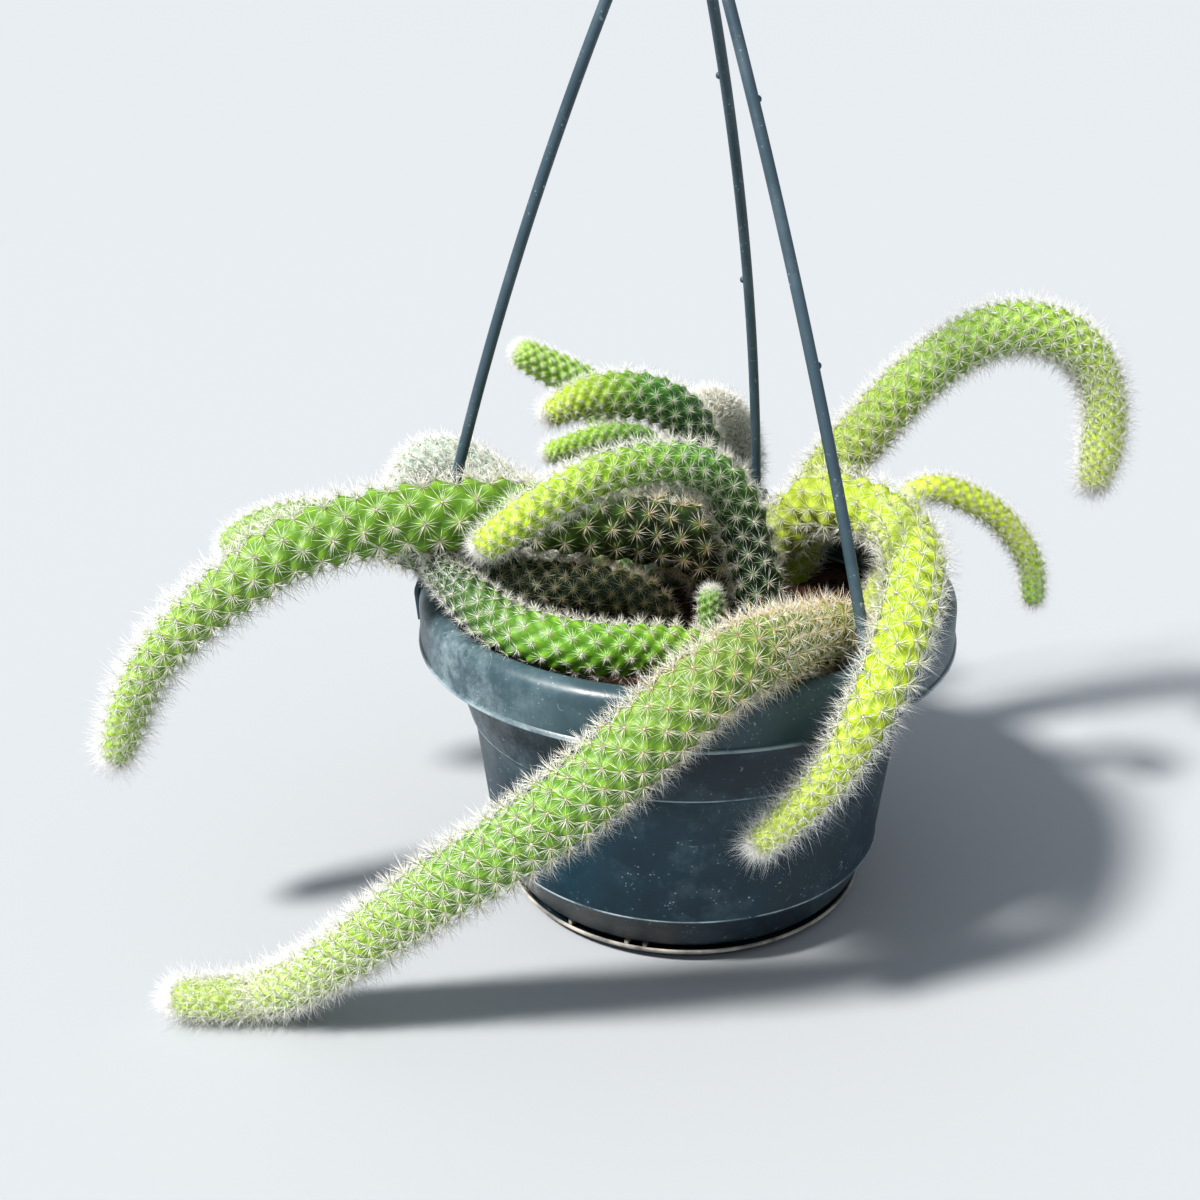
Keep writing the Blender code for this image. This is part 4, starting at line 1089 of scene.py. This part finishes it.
def make_skin(name, stem, finish):
    """The stem's skin: a sheet rolled round the axis and closed at its tip. Its rows slant
    with the tubercles' rows, so that each tip and groove lies on the sheet's own points."""
    around = TUBERCLE_STEPS * (stem.left + stem.right)
    rows = math.ceil(TUBERCLE_STEPS * (stem.phase[-1] + stem.left))
    bpy.ops.mesh.primitive_grid_add(x_subdivisions=around, y_subdivisions=rows, size=2 * MM)
    skin = bpy.context.object
    grid = coordinates(skin.data)
    u = (grid[:, 0] + 1) / 2
    phase = np.round((grid[:, 1] + 1) / 2 * rows) / TUBERCLE_STEPS - stem.left * u
    s = np.interp(phase, stem.phase, stem.s)
    places, _, _, height = stem.surface(s, u)
    set_coordinates(skin.data, places)
    add_numbers(skin.data, "growth", s / stem.s[-1])
    add_numbers(skin.data, "tubercle", height)
    pick(skin)
    with editing():
        bpy.ops.mesh.remove_doubles(threshold=SKIN_MERGE * MM)
        bpy.ops.mesh.select_all(action="DESELECT")
        bpy.ops.mesh.select_non_manifold(
            extend=False, use_multi_face=False, use_non_contiguous=False, use_verts=False
        )
        bpy.ops.mesh.edge_face_add()
        face_outwards()
    skin = keep(skin, name + "_skin", finish, 0)
    bpy.ops.object.shade_smooth()
    return skin


def model_cone(sides):
    """A cone one unit high on a unit base: with three sides a spine, with five the felted
    cushion that an areole's spines stand in."""
    bpy.ops.mesh.primitive_cone_add(
        vertices=sides, radius1=MM, radius2=0, depth=MM, location=(0, 0, MM / 2)
    )
    bpy.ops.object.transform_apply(location=True)
    with editing():
        bpy.ops.mesh.quads_convert_to_tris()
    return bpy.context.object


def model_hair():
    """A straight hair one unit long: a three-sided stalk drawn to a point from its middle."""
    bpy.ops.mesh.primitive_cylinder_add(vertices=3, radius=MM, depth=MM / 2, location=(0, 0, MM / 4))
    hair = bpy.context.object
    bpy.ops.object.transform_apply(location=True)
    with editing():
        bpy.ops.mesh.select_all(action="DESELECT")
        shape = bmesh.from_edit_mesh(hair.data)
        for vert in shape.verts:
            vert.select = vert.co.z > 0.4 * MM
        shape.select_flush(True)
        bmesh.update_edit_mesh(hair.data)
        bpy.ops.transform.resize(value=(0.8, 0.8, 1))
        bpy.ops.mesh.extrude_region_move(TRANSFORM_OT_translate={"value": (0, 0, MM / 2)})
        bpy.ops.mesh.merge(type="CENTER")
        bpy.ops.mesh.select_all(action="SELECT")
        bpy.ops.mesh.quads_convert_to_tris()
    return hair


def star_of(draw, spec):
    """One areole's spines of a kind: the way out and the length of each."""
    count = spec["count"]
    turn = math.tau * (np.arange(count) + draw.uniform(-UNEVEN, UNEVEN, count)) / count
    turn = turn + draw.uniform(0, math.tau)
    lean = np.radians(draw.uniform(*spec["lean"], count))
    ways = np.stack([np.sin(lean) * np.cos(turn), np.sin(lean) * np.sin(turn), np.cos(lean)], 1)
    return ways, draw.uniform(*spec["length"], count)


def too_close(tips, name, stems):
    """Whether spine tips run into another stem, the pot, the strands, the soil or the table."""
    height = tips[:, 2]
    radius = np.hypot(tips[:, 0], tips[:, 1])
    hit = height < TABLE_ROOM
    hit |= (radius < NECK_RADIUS - RIM_ROOM) & (height < SOIL_TOP + SOIL_ROOM)
    at_rim = (radius > NECK_RADIUS - RIM_INSIDE) & (radius < RIM_RADIUS + RIM_ROOM)
    hit |= at_rim & (height > BAND_BOTTOM - SOIL_ROOM) & (height < RIM_TOP + RIM_RISE)
    hit |= (radius < STEP_RADIUS + WALL_SLOPE * (height - STEP_HEIGHT)) & (height < BAND_BOTTOM)
    low, high = tips.min(0) - NEIGHBOURHOOD, tips.max(0) + NEIGHBOURHOOD
    for other, stem in stems.items():
        if other == name:
            continue
        centre, radii = stem.centre[::3], stem.radius[::3]
        near = ((centre > low) & (centre < high)).all(1)
        for point, size in zip(centre[near], radii[near]):
            hit |= ((tips - point) ** 2).sum(1) < (size * STEM_SHARE) ** 2
    for spec in STRANDS.values():
        for point in strand_line(**spec, steps=120):
            hit |= ((tips - point) ** 2).sum(1) < (STRAND_RADIUS + STRAND_ROOM) ** 2
    return hit


def areole_axes(stem, s, u):
    """Where the areoles at s and u have their spines' roots, and three axes of each: the first
    one out of the skin, the others across it."""
    places, normals, ways, _ = stem.surface(s, u)
    out = unit(normals + ways * AREOLE_LEAN)
    across = np.cross(out, ways + NUDGE)
    # At the stem's very end the way out is the way along, so the stem's side stands in for it
    at_end = np.linalg.norm(across, axis=1) < END_CROSS
    across[at_end] = np.cross(out[at_end], stem.side[-1])
    across = unit(across)
    return places - normals * ROOT_DEPTH, out, across, np.cross(out, across)


def bend_hairs(mesh, draw, roots, aims, lengths, across):
    """Bends each hair to one side, most at its tip, and holds it above the table."""
    places = coordinates(mesh).reshape(len(aims), -1, 3)
    reach = ((places - roots[:, None]) * aims[:, None]).sum(2) / lengths[:, None]
    bend = lengths * draw.uniform(*HAIR_BEND, len(aims))
    places += (reach**2 * bend[:, None])[..., None] * across[:, None]
    places[..., 2] = np.maximum(places[..., 2], HAIR_ROOM)
    set_coordinates(mesh, places.reshape(-1, 3))


def gilded(draw, gold, old, grown):
    """How golden spines are that stand at grown, from 0 to 1 along a stem."""
    aged = AGED_GOLD * np.clip(1 - 2 * grown, 0, 1)
    golden = draw.normal(gold, GOLD_SPREAD, len(grown)) + aged
    return old * np.clip(golden, 0, 1) * np.clip(GOLD_START - GOLD_FALL * grown, 0, 1)


def sow(name, stem, stems, models, finish, old, shag, stout):
    """Copies the spines and the hair onto every areole of a stem. old is how golden the
    spines are, shag how long and thick the coat is, and stout how thick each spine is."""
    spots = stem.areoles()
    s, u = spots[:, 0], spots[:, 1]
    places, out, cross, third = areole_axes(stem, s, u)
    growth = s / stem.s[-1]
    young = np.clip(1 - (stem.s[-1] - s) / (TIP_REACH * stem.size), 0, 1)
    draw = np.random.default_rng(sum(map(ord, name)))
    pieces = []
    for kind, spec in KINDS:
        count = spec["count"]
        stars = [star_of(draw, spec) for _ in range(STARS)]
        which = draw.integers(0, STARS, len(s))
        spin = draw.uniform(0, math.tau, len(s))[:, None]
        first = cross * np.cos(spin) + third * np.sin(spin)
        second = np.cross(out, first)
        aims = np.array([stars[w][0] for w in which])
        aims = (
            aims[..., 0:1] * first[:, None]
            + aims[..., 1:2] * second[:, None]
            + aims[..., 2:3] * out[:, None]
        ).reshape(-1, 3)
        lengths = np.array([stars[w][1] for w in which]) * stem.size
        lengths *= draw.uniform(*LENGTH_SPREAD, lengths.shape)
        if kind in YOUNG_LENGTHS:
            start, gain = YOUNG_LENGTHS[kind]
            lengths *= shag * (start + gain * young)[:, None]
        lengths = lengths.ravel()
        roots = np.repeat(places, count, axis=0)
        fresh, grown = np.repeat(young, count), np.repeat(growth, count)
        thick = spec["thick"] * draw.uniform(*THICK_SPREAD, len(aims))
        thick = thick * (THICK_START + THICK_GAIN * stem.size)
        thick *= stout * (1 - YOUNG_THIN * fresh)
        clear = ~too_close(roots + aims * lengths[:, None], name, stems)
        if kind == "spines":
            clear &= draw.random(len(aims)) > YOUNG_LOSS * fresh
        elif kind == "fluff":
            clear &= draw.random(len(aims)) < shag
        roots, aims, lengths, thick, grown = (a[clear] for a in (roots, aims, lengths, thick, grown))
        across = unit(np.cross(aims, draw.normal(size=aims.shape)))
        wide = thick[:, None]
        axes = [across * wide, np.cross(aims, across) * wide, aims * lengths[:, None]]
        mesh = scattered(f"{name}_{kind}", models[kind].data, np.stack(axes, 2), roots)
        if kind == "hair":
            bend_hairs(mesh, draw, roots, aims, lengths, across)
        golden = gilded(draw, spec["gold"], old, grown) if "gold" in spec else np.zeros(len(aims))
        add_numbers(mesh, "gold", np.repeat(golden, len(mesh.vertices) // len(aims)))
        mesh.materials.append(finish["spines" if "gold" in spec else "hair"])
        pieces.append(add_object(f"{name}_{kind}", mesh))
    spines = join(pieces[0], pieces[1:3])
    spines.name = spines.data.name = name + "_spines"
    hair = join(pieces[3], [pieces[4]])
    hair.name = hair.data.name = name + "_hair"
    return [spines, hair]


def add_camera():
    data = bpy.data.cameras.new("camera")
    data.lens = CAMERA_LENS
    data.sensor_width = CAMERA_SENSOR
    data.clip_start = 0.01
    camera = add_object("camera", data)
    tilt = Matrix.Rotation(math.radians(CAMERA_TILT), 4, "X")
    roll = Matrix.Rotation(math.radians(CAMERA_ROLL), 4, "Z")
    camera.matrix_world = Matrix.Translation(CAMERA_PLACE) @ tilt @ roll
    bpy.context.scene.camera = camera


def add_studio():
    """A plain pale floor under a soft key light from the upper left, and a pale sky that fills
    the shadows. The camera sees the sky in nearly the lit floor's tone, so from above it no
    horizon shows, and from low down only a faint one."""
    bpy.ops.mesh.primitive_plane_add(size=FLOOR_SIZE, location=(0, 0, -FLOOR_DROP))
    floor = bpy.context.object
    made, tree, shader, _ = start_material("pale paper")
    inputs = {"Base Color": (*FLOOR_COLOUR, 1), "Roughness": 0.9, "Specular IOR Level": 0.1}
    feed(tree, shader, inputs)
    keep(floor, "studio_floor", made, 0)
    world = bpy.data.worlds.new("studio")
    bpy.context.scene.world = world
    world.use_nodes = True
    tree = world.node_tree
    fill = tree.nodes["Background"]
    feed(tree, fill, {"Color": (*SKY_COLOUR, 1), "Strength": SKY_STRENGTH})
    backdrop = node(tree, "ShaderNodeBackground", {"Color": (*BACKDROP_COLOUR, 1)})
    seen = node(tree, "ShaderNodeLightPath").outputs["Is Camera Ray"]
    both = node(tree, "ShaderNodeMixShader", {0: seen, 1: fill.outputs[0], 2: backdrop.outputs[0]})
    feed(tree, tree.nodes["World Output"], {"Surface": both.outputs[0]})
    data = bpy.data.lights.new("key", "SUN")
    data.energy = KEY_STRENGTH
    data.angle = math.radians(KEY_SPREAD)
    data.color = KEY_COLOUR
    add_object("key", data).rotation_euler = Vector(KEY_FROM).to_track_quat("Z", "Y").to_euler()
    bpy.context.scene.view_settings.view_transform = "Standard"
    bpy.context.scene.view_settings.look = "Medium High Contrast"


def main():
    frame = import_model()
    bpy.ops.object.select_all(action="DESELECT")
    add_camera()
    add_studio()
    pot_finish = moulded_plastic("slate pot plastic", *POT_PLASTIC, RUBBED_EDGES, PAINTED_BAND_HIGHLIGHT_SHARE)
    saucer_finish = moulded_plastic("slate saucer plastic", *SAUCER_PLASTIC, SAUCER_LIP)
    hanger_finish = moulded_plastic("slate hanger plastic", *HANGER_PLASTIC)
    pieces = [
        (make_pot(pot_finish), "pot_plastic", "pot"),
        (make_saucer(saucer_finish), "pot_plastic", "saucer"),
        (make_soil(potting_mix()), "soil", "soil"),
        (make_hanger_top(hanger_finish), "hanger_plastic", "hanger_top"),
    ]
    for name, spec in STRANDS.items():
        pieces.append((make_strand(name, hanger_finish, **spec), "hanger_plastic", name))
    models = {"spines": model_cone(3), "cushions": model_cone(5), "hair": model_hair()}
    models["fluff"] = models["spines"]
    finish = {
        "spines": bristle("cream spines", CREAM, GOLDEN),
        "hair": bristle("white hair", WHITE, WHITE),
    }
    slots = {s["node"]: s["material_slot"] for s in frame["record"]["subparts"]}
    stems = {name: Stem(name) for name in STEMS}
    for name, stem in stems.items():
        bark, old, shag, stout, groove_shade = COATS[name]
        label = name.replace("_", " ") + " skin"
        stages = STAGES.get(name, USUAL_STAGES)
        skin = make_skin(name, stem, stem_skin(label, stages, *GREENS[name], bark, old, groove_shade))
        spiky = sow(name, stem, stems, models, finish, old, shag, stout)
        pieces += [(skin, slots[name], name), *((p, slots[name], None) for p in spiky)]
    for model in set(models.values()):
        bpy.data.objects.remove(model)
    for piece, slot, stands_for in pieces:
        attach(piece, "root")
        if stands_for:
            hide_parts(stands_for)


main()
